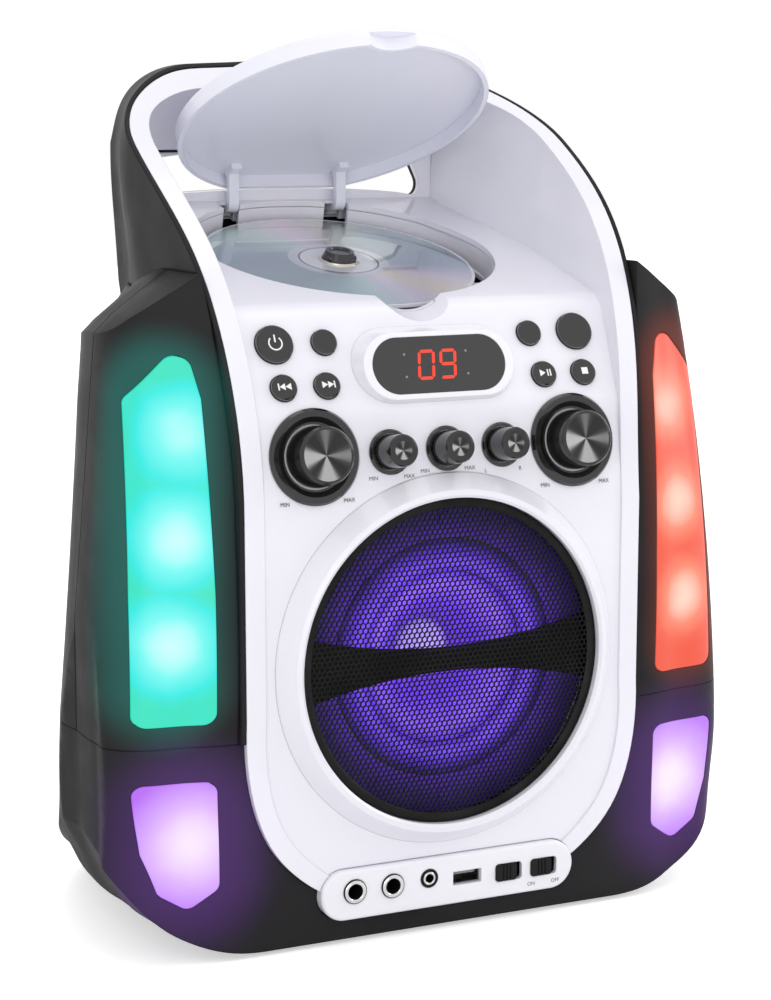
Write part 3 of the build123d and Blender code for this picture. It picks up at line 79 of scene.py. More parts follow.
ROW_PITCH = 18.5
BUTTONS = plane(18.5, 228.3, 27.4)
KNOBS = plane(10.3, 201.6, 10.0)
SPEAKER = plane(0.0, 115.0, 0.0)
DISPLAY = plane(16.0, 235.3, 16.0)
DISC = plane(112.6, 271.2, 75.0)
PILL = plane(4.6, 0.0, 0.0)
KNOB_PLACES = {           # place across the panel, cap radius and height, mm
    "microphone_volume_knob": (-58.6, 12.4, 13.6),
    "echo_knob": (-25.4, 6.0, 13.4),
    "talk_over_knob": (0.0, 6.0, 13.4),
    "balance_knob": (25.4, 6.0, 13.4),
    "master_volume_knob": (58.6, 12.4, 13.6),
}

# ------------------------------------------------------------------ node helpers


class Nodes:
    """A material's node tree with short calls for the nodes used here."""

    def __init__(self, name):
        self.material = bpy.data.materials.new(name)
        self.material.use_nodes = True
        self.tree = self.material.node_tree
        self.shader = self.tree.nodes["Principled BSDF"]
        self.place = self.add("ShaderNodeTexCoord").outputs["Object"]

    def add(self, kind, **settings):
        node = self.tree.nodes.new(kind)
        for key, value in settings.items():
            setattr(node, key, value)
        return node

    def feed(self, value, socket):
        if isinstance(value, bpy.types.NodeSocket):
            self.tree.links.new(value, socket)
        else:
            socket.default_value = value

    def math(self, operation, first, second=0.0, clamp=False):
        node = self.add("ShaderNodeMath", operation=operation, use_clamp=clamp)
        self.feed(first, node.inputs[0])
        self.feed(second, node.inputs[1])
        return node.outputs[0]

    def vector(self, operation, first, second=(0, 0, 0)):
        node = self.add("ShaderNodeVectorMath", operation=operation)
        self.feed(first, node.inputs[0])
        self.feed(second, node.inputs[1])
        return node.outputs["Value" if operation in ("LENGTH", "DISTANCE", "DOT_PRODUCT") else "Vector"]

    def noise(self, scale, detail=2.0, rough=0.5, place=None):
        node = self.add("ShaderNodeTexNoise")
        self.feed(place or self.place, node.inputs["Vector"])
        node.inputs["Scale"].default_value = scale
        node.inputs["Detail"].default_value = detail
        node.inputs["Roughness"].default_value = rough
        return node.outputs["Fac"]

    def map(self, value, low, high, to_low=0.0, to_high=1.0, smooth=True):
        node = self.add("ShaderNodeMapRange", interpolation_type="SMOOTHSTEP" if smooth else "LINEAR")
        self.feed(value, node.inputs["Value"])
        for name, number in zip(("From Min", "From Max", "To Min", "To Max"), (low, high, to_low, to_high)):
            node.inputs[name].default_value = number
        return node.outputs["Result"]

    def ramp(self, value, stops):
        node = self.add("ShaderNodeValToRGB")
        self.feed(value, node.inputs["Fac"])
        elements = node.color_ramp.elements
        while len(elements) < len(stops):
            elements.new(0.5)
        for element, (position, colour) in zip(elements, stops):
            element.position = position
            element.color = (*colour, 1)
        return node.outputs["Color"]

    def mix(self, factor, first, second, blend="MIX"):
        node = self.add("ShaderNodeMix", data_type="RGBA", blend_type=blend)
        self.feed(factor, node.inputs[0])
        self.feed(first if isinstance(first, bpy.types.NodeSocket) else (*first, 1), node.inputs[6])
        self.feed(second if isinstance(second, bpy.types.NodeSocket) else (*second, 1), node.inputs[7])
        return node.outputs[2]

    def local(self, matrix):
        """Coordinates in mm on a construction plane: (x, y, z) sockets."""
        inverse = matrix.inverted()
        sockets = []
        for row in range(3):
            along = self.vector("DOT_PRODUCT", self.place, tuple(inverse[row][:3]))
            away = self.math("ADD", along, inverse[row][3])
            sockets.append(self.math("MULTIPLY", away, 1000.0))
        return sockets

    def radius(self, x, y):
        return self.math("SQRT", self.math("ADD", self.math("MULTIPLY", x, x), self.math("MULTIPLY", y, y)))

    def bump(self, height, distance, strength=1.0, edge=0.0):
        """Fine relief, over edges that look rounded by the edge radius, in mm."""
        node = self.add("ShaderNodeBump")
        node.inputs["Strength"].default_value = strength
        node.inputs["Distance"].default_value = distance
        self.feed(height, node.inputs["Height"])
        if edge:
            bevel = self.add("ShaderNodeBevel", samples=6)
            bevel.inputs["Radius"].default_value = edge * MM
            self.tree.links.new(bevel.outputs["Normal"], node.inputs["Normal"])
        self.tree.links.new(node.outputs["Normal"], self.shader.inputs["Normal"])

    def set(self, **values):
        names = {"colour": "Base Color", "rough": "Roughness", "metal": "Metallic",
                 "coat": "Coat Weight", "coat_rough": "Coat Roughness", "specular": "Specular IOR Level",
                 "glow": "Emission Color", "strength": "Emission Strength"}
        for key, value in values.items():
            if isinstance(value, tuple):
                value = (*value, 1)
            self.feed(value, self.shader.inputs[names[key]])
        return self


def glow(nodes, x, depth, low, high, inner, outer):
    """Falls from 1 to 0 with the distance, in mm, from an upright line between two heights."""
    split = nodes.add("ShaderNodeSeparateXYZ")
    nodes.feed(nodes.place, split.inputs[0])
    level = nodes.math("MINIMUM", nodes.math("MAXIMUM", split.outputs[2], low * MM), high * MM)
    join = nodes.add("ShaderNodeCombineXYZ")
    join.inputs[0].default_value = x * MM
    join.inputs[1].default_value = (BAFFLE + depth) * MM
    nodes.feed(level, join.inputs[2])
    away = nodes.vector("DISTANCE", nodes.place, join.outputs[0])
    return nodes.map(away, inner * MM, outer * MM, 1.0, 0.0)


CYAN = (0.02, 0.75, 0.62)
CORAL = (0.95, 0.13, 0.05)
VIOLET = (0.38, 0.08, 0.85)
SPILLS = [                # colour, x, depth, heights, inner and outer reach of the light on its surroundings
    (CYAN, -118, 26, 115, 225, 15, 34),
    (CORAL, 118, 26, 115, 225, 15, 34),
    (VIOLET, -112, 18, 40, 58, 14, 44),
    (VIOLET, 112, 18, 40, 58, 14, 44),
]


CLOUDS = 14.0             # scale of the slow changes of colour in plastic


def spilled(nodes, amount):
    """Light of the lit panels on the plastic round them."""
    total = (0, 0, 0)
    for colour, *place in SPILLS:
        strength = nodes.math("MULTIPLY", glow(nodes, *place), amount)
        total = nodes.mix(strength, total, colour, "ADD")
    nodes.set(glow=total, strength=1.0)


def plastic(name, low, high, rough, grain, depth, edge=0.0, coat=0.0, spill=0.0, specular=0.5):
    """Moulded plastic: a colour that varies a little, uneven gloss, a fine grain and soft edges."""
    nodes = Nodes(name)
    gloss = nodes.noise(CLOUDS * 3, 4.0)
    nodes.set(colour=nodes.ramp(nodes.noise(CLOUDS, 3.0), [(0.3, low), (0.7, high)]),
              rough=nodes.map(gloss, 0.3, 0.7, rough * 0.88, rough * 1.12),
              coat=coat, coat_rough=0.06, specular=specular)
    nodes.bump(nodes.noise(grain, 3.0, 0.6), depth, 1.0, edge)
    if spill:
        spilled(nodes, spill)
    return nodes.material


def metal(name, low, high, rough, grain=900.0, depth=0.00002, edge=0.15):
    nodes = Nodes(name)
    nodes.set(colour=nodes.ramp(nodes.noise(60.0, 3.0), [(0.3, low), (0.7, high)]), metal=1.0,
              rough=nodes.map(nodes.noise(240.0, 3.0), 0.3, 0.7, rough * 0.8, rough * 1.25))
    nodes.bump(nodes.noise(grain, 2.0), depth, 0.6, edge)
    return nodes.material


def grey(value):
    return (value, value, value)


# ------------------------------------------------------------------ materials
WHITE = plastic("white_moulding", (0.80, 0.79, 0.86), (0.84, 0.83, 0.895), 0.20, 420.0, 0.00003, 0.7,
                coat=0.25, spill=0.10)
LID_WHITE = plastic("lid_white", (0.82, 0.82, 0.92), (0.85, 0.85, 0.94), 0.24, 420.0, 0.00003, 0.4, 0.15)
WHITE_TRIM = plastic("white_trim", (0.82, 0.81, 0.87), (0.86, 0.85, 0.90), 0.14, 500.0, 0.00002, 0.6, 0.4)
SHELL = plastic("black_shell", (0.019, 0.018, 0.019), (0.027, 0.0255, 0.027), 0.42, 2600.0, 0.00005, 1.6,
                spill=0.13, specular=0.05)
GLOSS = plastic("black_gloss", grey(0.006), grey(0.010), 0.09, 300.0, 0.00001, 0.3, 0.6)
TRIM = plastic("black_trim", grey(0.008), grey(0.013), 0.35, 900.0, 0.00003, 0.3, specular=0.15)
RUBBER = plastic("foot_rubber", grey(0.015), grey(0.025), 0.75, 1500.0, 0.0001, 0.3)
BOARD = plastic("circuit_board", (0.01, 0.09, 0.03), (0.02, 0.13, 0.05), 0.35, 700.0, 0.00004, 0.1)
LAMP_BOARD = plastic("lamp_board", grey(0.5), grey(0.6), 0.4, 700.0, 0.00003, 0.1)
NYLON = plastic("nylon", (0.62, 0.61, 0.56), (0.70, 0.69, 0.64), 0.45, 700.0, 0.00003, 0.2)
MAGNET = plastic("magnet", grey(0.03), grey(0.05), 0.6, 1200.0, 0.0001, 0.4)
STEEL = metal("grille_steel", grey(0.016), grey(0.026), 0.45)
# Steel darker than the plated parts: painted shade for the port's dark opening.
USB_STEEL_PAINTED_SHADE = metal("usb_steel_painted_shade", grey(0.20), grey(0.30), 0.3)
BASKET = metal("basket_steel", grey(0.08), grey(0.12), 0.45)
PLATED = metal("plated_steel", (0.62, 0.60, 0.56), (0.74, 0.72, 0.68), 0.22)
CHROME = metal("jack_chrome", grey(0.70), grey(0.82), 0.10)
HUB_RING = metal("hub_ring", (0.74, 0.68, 0.58), (0.86, 0.80, 0.70), 0.12)


def lens(name, deep, bright, hot, rim, places, reach):
    """A lit diffuser: hot spots in front of its lamps on an even glow, greener or deeper near the rim."""
    nodes = Nodes(name)
    heat = 0.0
    for x, depth, height in places:
        spot = nodes.vector("DISTANCE", nodes.place, tuple(Vector((x, BAFFLE + depth, height)) * MM))
        near = nodes.map(spot, 0.0, reach * MM, 1.0, 0.0)
        heat = nodes.math("MAXIMUM", near, heat)
    uneven = nodes.math("ADD", heat, nodes.map(nodes.noise(45.0, 2.0), 0.3, 0.7, -0.05, 0.05))
    colour = nodes.ramp(uneven, [(0.0, rim), (0.18, deep), (0.55, bright), (1.0, hot)])
    nodes.set(colour=nodes.mix(0.85, colour, grey(0.0)), glow=colour, strength=0.95, rough=0.32, coat=0.15,
              coat_rough=0.2)
    nodes.bump(nodes.noise(1200.0, 2.0), 0.00002, 1.0, 1.2)
    return nodes.material


LENS_CYAN = lens("cyan_lens", (0.012, 0.74, 0.68), (0.14, 0.82, 0.78), (0.52, 0.90, 0.87), (0.02, 0.68, 0.47),
                 [(-114, 13, 214), (-116, 13, 172), (-118, 14, 130)], 27.0)
LENS_CORAL = lens("coral_lens", (0.82, 0.10, 0.045), (0.90, 0.22, 0.13), (0.98, 0.60, 0.48),
                  (0.80, 0.075, 0.03),
                  [(114, 13, 214), (116, 13, 172), (118, 14, 130)], 26.0)
LENS_VIOLET = lens("violet_lens", (0.52, 0.24, 0.88), (0.68, 0.42, 0.94), (0.88, 0.76, 0.98),
                   (0.42, 0.12, 0.80),
                   [(-112, 12, 50), (112, 12, 50)], 34.0)


def knob(name, x, cap, height):
    """Gloss black with a spun-metal face; its bright and dark sectors, lighter towards one side, are a
    painted reflection.
    """
    nodes = Nodes(name)
    across, up, out = nodes.local(shifted(KNOBS, x))
    # Painted reflection: bright and dark sectors by angle round the face, lighter towards one side, stand in
    # for the spun metal's reflections.
    angle = nodes.math("ARCTAN2", up, across)
    spread = nodes.math("ABSOLUTE", nodes.math("COSINE", nodes.math("MULTIPLY", angle, 2.0)))
    painted_sheen_sectors = nodes.map(nodes.math("ADD", spread, nodes.map(nodes.math("COSINE", nodes.math(
        "ADD", angle, 2.2)), -1.0, 1.0, -0.25, 0.25, False)), 0.25, 1.1)
    away = nodes.radius(across, up)
    rings = nodes.math("SINE", nodes.math("MULTIPLY", away, 14.0))
    face = nodes.math("MULTIPLY", nodes.map(out, height - 1.9, height - 1.7), nodes.map(
        away, cap - 2.4, cap - 2.2, 1.0, 0.0))
    shade = nodes.math("ADD", painted_sheen_sectors, nodes.math("MULTIPLY", rings, 0.035))
    painted_spun_sheen = nodes.ramp(shade, [(0.0, grey(0.012)), (0.5, grey(0.045)), (0.85, grey(0.22)), (1.0, grey(0.42))])
    nodes.set(colour=nodes.mix(face, grey(0.008), painted_spun_sheen), rough=nodes.map(face, 0.0, 1.0, 0.10, 0.30, False),
              metal=nodes.math("MULTIPLY", face, 0.6), coat=0.3, coat_rough=0.05)
    nodes.bump(nodes.math("MULTIPLY", rings, face), 0.00003, 0.5, 0.35)
    return nodes.material


DISC_PAINTED_RAINBOW = [             # the disc's painted rainbow reflection, once round
    (0.0, (0.36, 0.47, 0.52)), (0.12, (0.38, 0.51, 0.53)), (0.24, (0.58, 0.78, 0.74)),
    (0.30, (0.92, 0.78, 0.90)), (0.35, (1.0, 0.92, 0.68)), (0.40, (0.96, 0.84, 0.90)),
    (0.46, (0.46, 0.58, 0.68)), (0.62, (0.38, 0.50, 0.56)), (0.70, (0.56, 0.60, 0.50)),
    (0.78, (0.88, 0.72, 0.84)), (0.84, (0.58, 0.80, 0.68)), (0.92, (0.42, 0.54, 0.58)),
    (1.0, (0.36, 0.47, 0.52)),
]


def disc_face():
    """Pressed disc: clear middle, mirror band, a data area with a painted rainbow reflection and a clear
    edge.
    """
    nodes = Nodes("disc_mirror")
    across, along, _ = nodes.local(DISC)
    away = nodes.radius(across, along)
    angle = nodes.math("ARCTAN2", along, across)
    around = nodes.map(angle, -math.pi, math.pi, 0.0, 1.0, False)
    # Painted reflection: a rainbow by angle round the disc, lightened towards silver in eight lobes.
    swing = nodes.math("SINE", nodes.math("MULTIPLY", around, 25.13))
    painted_sheen_wave = nodes.math("ADD", nodes.math("MULTIPLY", swing, 0.5), 0.5)
    painted_rainbow = nodes.ramp(around, DISC_PAINTED_RAINBOW)
    data = nodes.mix(nodes.math("MULTIPLY", painted_sheen_wave, 0.14), painted_rainbow, (0.80, 0.82, 0.83))
    inner = nodes.map(away, 22.0, 22.6)
    band = nodes.mix(inner, (0.80, 0.81, 0.83), data)
    clear = nodes.math("MULTIPLY", nodes.map(away, 17.6, 18.2), nodes.map(away, 58.4, 58.8, 1.0, 0.0))
    groove = nodes.math("MULTIPLY", nodes.map(away, 16.9, 17.2), nodes.map(away, 17.7, 18.1, 1.0, 0.0))
    middle = nodes.mix(groove, (0.70, 0.72, 0.75), (0.06, 0.07, 0.08))
    nodes.set(colour=nodes.mix(clear, middle, band), metal=nodes.map(clear, 0.0, 1.0, 0.1, 0.92, False),
              rough=nodes.map(clear, 0.0, 1.0, 0.12, 0.27, False), coat=1.0, coat_rough=0.03)
    tracks = nodes.math("SINE", nodes.math("MULTIPLY", away, 30.0))
    nodes.bump(nodes.math("MULTIPLY", tracks, clear), 0.000006, 0.3)
    return nodes.material


SPEAKER_REACH = 68.0      # where the stops of the next colour ramps end, mm from the axis


def lit_speaker(name, stops, rough):
    """Parts of the loudspeaker in the light of the ring round them: colour by distance from the axis."""
    nodes = Nodes(name)
    across, up, _ = nodes.local(SPEAKER)
    away = nodes.radius(across, up)
    angle = nodes.math("ARCTAN2", up, across)
    lamps = nodes.math("MULTIPLY", nodes.math("COSINE", nodes.math("MULTIPLY", angle, 12.0)), 0.06)
    colour = nodes.ramp(nodes.map(away, 0.0, SPEAKER_REACH, 0.0, 1.0, False), stops)
    light = nodes.math("ADD", nodes.map(nodes.noise(30.0, 2.0), 0.3, 0.7, 0.85, 1.1), lamps)
    nodes.set(colour=nodes.mix(0.75, colour, grey(0.0)), glow=colour, strength=light, rough=rough)
    nodes.bump(nodes.noise(700.0, 3.0), 0.00005, 1.0)
    return nodes.material


CONE = lit_speaker("cone", [
    (0.0, (0.52, 0.40, 0.95)), (0.14, (0.44, 0.30, 0.95)), (0.19, (0.14, 0.05, 0.66)),
    (0.30, (0.17, 0.05, 0.92)), (0.44, (0.28, 0.12, 1.0)), (0.53, (0.12, 0.03, 0.74))], 0.5)
SURROUND = lit_speaker("surround", [
    (0.52, (0.11, 0.035, 0.60)), (0.58, (0.20, 0.08, 0.95)), (0.64, (0.12, 0.04, 0.66)),
    (0.70, (0.03, 0.008, 0.18))], 0.55)
LIT_RING = lit_speaker("lit_ring", [
    (0.60, (0.10, 0.03, 0.48)), (0.74, (0.06, 0.015, 0.30)), (0.86, (0.020, 0.006, 0.10)),
    (1.0, (0.006, 0.003, 0.03))], 0.5)


def glass():
    """The display's window, tinted nearly black."""
    nodes = Nodes("dark_window")
    tint = nodes.ramp(nodes.noise(20.0, 2.0), [(0.3, (0.004, 0.004, 0.005)), (0.7, (0.007, 0.006, 0.008))])
    nodes.set(colour=tint, rough=0.03, coat=1.0, coat_rough=0.02)
    nodes.bump(nodes.noise(12.0, 1.0), 0.00002, 0.2, 0.3)
    return nodes.material


def glowing(name, colour, strength):
    nodes = Nodes(name)
    brighter = tuple(min(1, share * 1.15) for share in colour)
    darker = tuple(share * 0.2 for share in colour)
    light = nodes.ramp(nodes.noise(500.0, 1.0), [(0.3, colour), (0.8, brighter)])
    nodes.set(colour=darker, glow=light, strength=strength, rough=0.3)
    return nodes.material


WINDOW = glass()
DIGIT = glowing("digit_red", (0.95, 0.05, 0.02), 1.0)
INDICATOR = glowing("indicator", (0.30, 0.32, 0.34), 0.6)
PRINT = plastic("white_print", grey(0.80), grey(0.86), 0.4, 800.0, 0.00001)
DARK_PRINT = plastic("grey_print", grey(0.07), grey(0.10), 0.5, 800.0, 0.00001)

FINISHES = {
    "base_housing": SHELL, "wing_front_shells": SHELL, "wing_rear_shells": SHELL, "rear_cabinet": SHELL,
    "front_frame": WHITE, "lid": LID_WHITE, "jack_panel": WHITE_TRIM, "display_bezel": WHITE_TRIM,
    "speaker_bezel": WHITE, "disc_bay": WHITE, "upper_lens_left": LENS_CYAN, "upper_lens_right": LENS_CORAL,
    "lower_lenses": LENS_VIOLET, "grille_crossbar": TRIM, "speaker_led_ring": LIT_RING,
    "upper_light_plates": LAMP_BOARD, "lower_light_plates": LAMP_BOARD, "speaker_basket": BASKET,
    "speaker_magnet": MAGNET, "speaker_surround": SURROUND, "speaker_cone": CONE,
    "mechanism_chassis": PLATED, "mechanism_motors": PLATED, "disc": disc_face(), "spindle_hub": GLOSS,
    "pickup_sled": TRIM, "sled_gear": NYLON, "motor_pinion": NYLON, "hinge_pins": PLATED,
    "housing_screws": PLATED, "rubber_feet": RUBBER, "display_window": WINDOW, "display_module": TRIM,
    "knob_dials": GLOSS, "potentiometers": PLATED, "button_board": BOARD, "main_board": BOARD,
    "rear_board": BOARD, "microphone_jacks": TRIM, "aux_jack": TRIM, "usb_port": USB_STEEL_PAINTED_SHADE,
    "slide_switches": TRIM, "function_switch": TRIM, "light_switch": TRIM, "rear_jacks": CHROME,
    "dc_inlet": TRIM, "speaker_grille": STEEL,
}
for button in ("power", "repeat", "previous", "next", "program", "light_show", "play", "stop"):
    FINISHES[button + "_button"] = GLOSS
# Each knob gets its own material, with a painted reflection on its face.
for place, (x, cap, height) in KNOB_PLACES.items():
    FINISHES[place] = knob(place + "_painted_sheen", x, cap, height)
for node, material in FINISHES.items():
    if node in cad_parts:
        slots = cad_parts[node].data.materials
        slots.clear()
        slots.append(material)
        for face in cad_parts[node].data.polygons:
            face.material_index = 0

# ------------------------------------------------------------------ mesh helpers


def keep(name, work, material, body, matrix, smooth=True):
    """Turns a bmesh in mm on a plane into a piece of the scene that rides on a body."""
    bmesh.ops.recalc_face_normals(work, faces=work.faces)
    mesh = bpy.data.meshes.new(name)
    work.to_mesh(mesh)
    work.free()
    mesh.transform(matrix @ Matrix.Diagonal((MM, MM, MM, 1)))
    mesh.materials.append(material)
    if smooth:
        mesh.shade_smooth()
        mesh.set_sharp_from_angle(angle=math.radians(35))
    piece = bpy.data.objects.new(name, mesh)
    bpy.context.scene.collection.objects.link(piece)
    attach(piece, body)
    return piece


def lathe(name, profile, material, body, matrix, steps=96):
    """A closed profile of (radius, height) turned round the plane's z axis."""
    work = bmesh.new()
    rings = []
    for radius, height in profile:
        turn = [2 * math.pi * i / steps for i in range(steps)]
        rings.append([work.verts.new((radius * math.cos(a), radius * math.sin(a), height)) for a in turn])
    for first, second in zip(rings, rings[1:] + rings[:1]):
        for i in range(steps):
            j = (i + 1) % steps
            work.faces.new((first[i], first[j], second[j], second[i]))
    return keep(name, work, material, body, matrix)


def slabs(name, outlines, low, high, material, body, matrix):
    """Flat outlines in mm, extruded from low to high."""
    work = bmesh.new()
    for outline in outlines:
        bottom = [work.verts.new((x, y, low)) for x, y in outline]
        top = [work.verts.new((x, y, high)) for x, y in outline]
        work.faces.new(bottom)
        work.faces.new(top)
        for i in range(len(outline)):
            j = (i + 1) % len(outline)
            work.faces.new((bottom[i], bottom[j], top[j], top[i]))
    return keep(name, work, material, body, matrix, smooth=False)


def arc(radius, start, end, steps=24, x=0.0, y=0.0):
    """Points along an arc between two angles in degrees."""
    turn = [math.radians(start + (end - start) * i / steps) for i in range(steps + 1)]
    return [(x + radius * math.cos(a), y + radius * math.sin(a)) for a in turn]


def words(name, labels, material, body, matrix, lift):
    """Short generic markings, (text, x, y, size) in mm, raised a hair from the plane."""
    pieces = []
    for text, x, y, size in labels:
        curve = bpy.data.curves.new(name, "FONT")
        curve.body = text
        curve.size = size
        curve.align_x = "CENTER"
        curve.align_y = "CENTER"
        curve.extrude = 0.04
        curve.resolution_u = 3
        holder = bpy.data.objects.new(name + "_curve", curve)
        bpy.context.scene.collection.objects.link(holder)
        bpy.context.view_layer.update()
        mesh = bpy.data.meshes.new_from_object(holder.evaluated_get(bpy.context.evaluated_depsgraph_get()))
        mesh.transform(Matrix.Translation((x, y, lift)))
        bpy.data.objects.remove(holder)
        pieces.append(mesh)
    work = bmesh.new()
    for mesh in pieces:
        work.from_mesh(mesh)
        bpy.data.meshes.remove(mesh)
    return keep(name, work, material, body, matrix, smooth=False)


# ------------------------------------------------------------------ housings
BOX_HALF = max(abs(cad_box[0][0]), abs(cad_box[1][0])) / MM
SIDE_START = 93.0         # the housings keep their shape inside of this half width
SIDE_SPAN = 41.0          # the moves below are for this far outside of it
FRONT_WIDER = 6.0         # fuller front corners: outwards
FRONT_NEARER = -9.0       # and forwards
REAR_SLIMMER = -5.0       # slimmer behind the middle
HOOD_SLIMMER = 20.0       # the hood narrows to the back
LOW_CORNER = 8.0         # tighter round corners at the bottom, behind the front faces
WING_TOP_DROP = 11.0      # the tops of the wings slope down behind the middle
CUT_STEP = 8.0            # the meshes are cut this finely before they are moved
BOX_MARGIN = 2.1          # kept between the wider sides and the CAD box
HULL_WIDTHS = [(2, 146.5), (89, 142.3), (180, 134.3), (285, 126.0)]     # (height, half width)
# The share of its half width that the hull has at each depth.
PROFILE = [(9.5, 0.62), (20, 0.855), (30, 0.935), (44, 0.985), (62, 1.0), (117, 0.94), (200, 0.94)]


def smooth(value, low, high):
    t = min(1.0, max(0.0, (value - low) / (high - low)))
    return t * t * (3 - 2 * t)


def between(points, value):
    """Straight-line interpolation in a list of (place, number)."""
    for (low, first), (high, second) in zip(points, points[1:]):
        if value <= high:
            return first + (second - first) * max(0.0, value - low) / (high - low)
    return points[-1][1]


def hull_move(side, depth, height, low_corner):
    """How far a housing's side moves outwards at a point, in mm; it stays inside the CAD box."""
    front = FRONT_WIDER * (smooth(height, 18, 75) if low_corner else 1.0)
    along = front + (REAR_SLIMMER - front) * smooth(depth, 36, 122)
    widest = between(HULL_WIDTHS, height) * between(PROFILE, depth)
    scale = min(1 + along / SIDE_SPAN,
                (BOX_HALF - BOX_MARGIN - SIDE_START) / max(10.0, widest - SIDE_START))
    move = (scale - 1) * max(0.0, side - SIDE_START)
    if low_corner:
        share = (0.25 + 0.75 * smooth(depth, 18, 74)) * (1 - smooth(depth, 84, 130))
        share *= smooth(side, 70, 126) * (1 - smooth(side, 128, 146))
        move += LOW_CORNER * share * (1 - smooth(height, 2, 54))
    return move


def hood_move(side, depth, height):
    """The hood and what stands beside it narrow towards the back."""
    share = max(0.0, (side - 55) / 47.7)
    return -HOOD_SLIMMER * smooth(depth, 95, 175) * share * smooth(height, 222, 252)


def shaped(node, hull, low_corner=False):
    """A housing with its final curves: the CAD node's surface cut finely and eased into shape."""
    work = bmesh.new()
    work.from_mesh(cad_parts[node].data)
    bmesh.ops.remove_doubles(work, verts=work.verts, dist=1e-6)
    low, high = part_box(node)
    step = (CUT_STEP / 2 if low_corner else CUT_STEP) * MM
    for axis in (1, 2):
        place = low[axis] + step
        while place < high[axis] - 0.5 * MM:
            middle = Vector((0, 0, 0))
            normal = Vector((0, 0, 0))
            middle[axis] = place
            normal[axis] = 1
            everything = list(work.verts) + list(work.edges) + list(work.faces)
            bmesh.ops.bisect_plane(work, geom=everything, dist=1e-7, plane_co=middle, plane_no=normal)
            place += step
    for vertex in work.verts:
        side = abs(vertex.co.x) / MM
        sign = 1 if vertex.co.x >= 0 else -1
        depth = vertex.co.y / MM - BAFFLE
        height = vertex.co.z / MM
        move = hood_move(side, depth, height)
        if hull:
            move += hull_move(side, depth, height, low_corner)
            vertex.co.z -= WING_TOP_DROP * MM * smooth(depth, 66, 125) * smooth(height, 215, 262)
            vertex.co.y += FRONT_NEARER * MM * smooth(side, 108, 134) * (1 - smooth(depth, 40, 75))
        vertex.co.x = sign * (side + move) * MM
    mesh = bpy.data.meshes.new("shaped_" + node)
    work.to_mesh(mesh)
    work.free()
    if "custom_normal" in mesh.attributes:
        mesh.attributes.remove(mesh.attributes["custom_normal"])
    mesh.materials.clear()
    mesh.materials.append(FINISHES[node])
    for face in mesh.polygons:
        face.material_index = 0
    mesh.shade_smooth()
    mesh.set_sharp_from_angle(angle=math.radians(40 if hull else 28))
    piece = bpy.data.objects.new("shaped_" + node, mesh)
    bpy.context.scene.collection.objects.link(piece)
    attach(piece, "cabinet")
    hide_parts(node)


for node in ("wing_front_shells", "wing_rear_shells", "upper_lens_left", "upper_lens_right"):
    shaped(node, True)
for node in ("base_housing", "lower_lenses"):
    shaped(node, True, True)
for node in ("rear_cabinet", "front_frame"):
    shaped(node, False)

# ------------------------------------------------------------------ speaker grille
MESH_PITCH = 2.3
MESH_OPEN = 0.8
MESH_RADIUS = 65.6
MESH_DEPTH = -4.0
MESH_THICKNESS = 0.7
RIM_PROFILE = [(63.4, -5.2), (63.4, -3.6), (64.2, -3.0), (66.0, -2.8), (67.2, -3.2), (67.35, -4.4),
               (67.35, -6.2), (66.4, -6.4), (66.0, -5.2)]


def grille():
    """Perforated sheet: a honeycomb of hexagonal holes inside a plain rolled rim."""
    work = bmesh.new()
    outer = MESH_PITCH / math.sqrt(3)
    corners = {}

    def corner(x, y):
        key = (round(x * 50), round(y * 50))
        if key not in corners:
            corners[key] = work.verts.new((x, y, MESH_DEPTH))
        return corners[key]

    rows = int(MESH_RADIUS / (outer * 1.5)) + 1
    for row in range(-rows, rows + 1):
        for column in range(-rows * 2, rows * 2 + 1):
            x = (column + 0.5 * (row % 2)) * MESH_PITCH
            y = row * outer * 1.5
            if math.hypot(x, y) > MESH_RADIUS - outer:
                continue
            turns = [math.radians(30 + 60 * i) for i in range(6)]
            edge = [corner(x + outer * math.cos(a), y + outer * math.sin(a)) for a in turns]
            hole = [work.verts.new((x + MESH_OPEN * outer * math.cos(a), y + MESH_OPEN * outer * math.sin(a),
                                    MESH_DEPTH)) for a in turns]
            for i in range(6):
                j = (i + 1) % 6
                work.faces.new((edge[i], edge[j], hole[j], hole[i]))
    bmesh.ops.recalc_face_normals(work, faces=work.faces)
    piece = keep("grille_mesh", work, STEEL, "cabinet", SPEAKER, smooth=False)
    solid = piece.modifiers.new("thickness", "SOLIDIFY")
    solid.thickness = MESH_THICKNESS * MM
    solid.offset = 0.0
    done = bpy.data.meshes.new_from_object(piece.evaluated_get(bpy.context.evaluated_depsgraph_get()))
    piece.modifiers.clear()
    piece.data = done
    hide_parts("speaker_grille")
    rim = lathe("grille_rim", RIM_PROFILE, STEEL, "cabinet", SPEAKER, 160)
    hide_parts("speaker_grille")


grille()

# ------------------------------------------------------------------ marks on the buttons
CAP_TOP = 2.4
ICON_HEIGHT = 0.06


def icon(name, body, x, row, outlines):
    marks = slabs(name, outlines, CAP_TOP - 0.05, CAP_TOP + ICON_HEIGHT, PRINT, body,
                  shifted(BUTTONS, x, row * ROW_PITCH))


def arrow(x, size, way):
    return [(x - way * size / 2, size * 0.58), (x - way * size / 2, -size * 0.58), (x + way * size / 2, 0)]


def bar(x, width, height, y=0.0):
    return [(x - width / 2, y - height / 2), (x + width / 2, y - height / 2), (x + width / 2, y + height / 2),
            (x - width / 2, y + height / 2)]


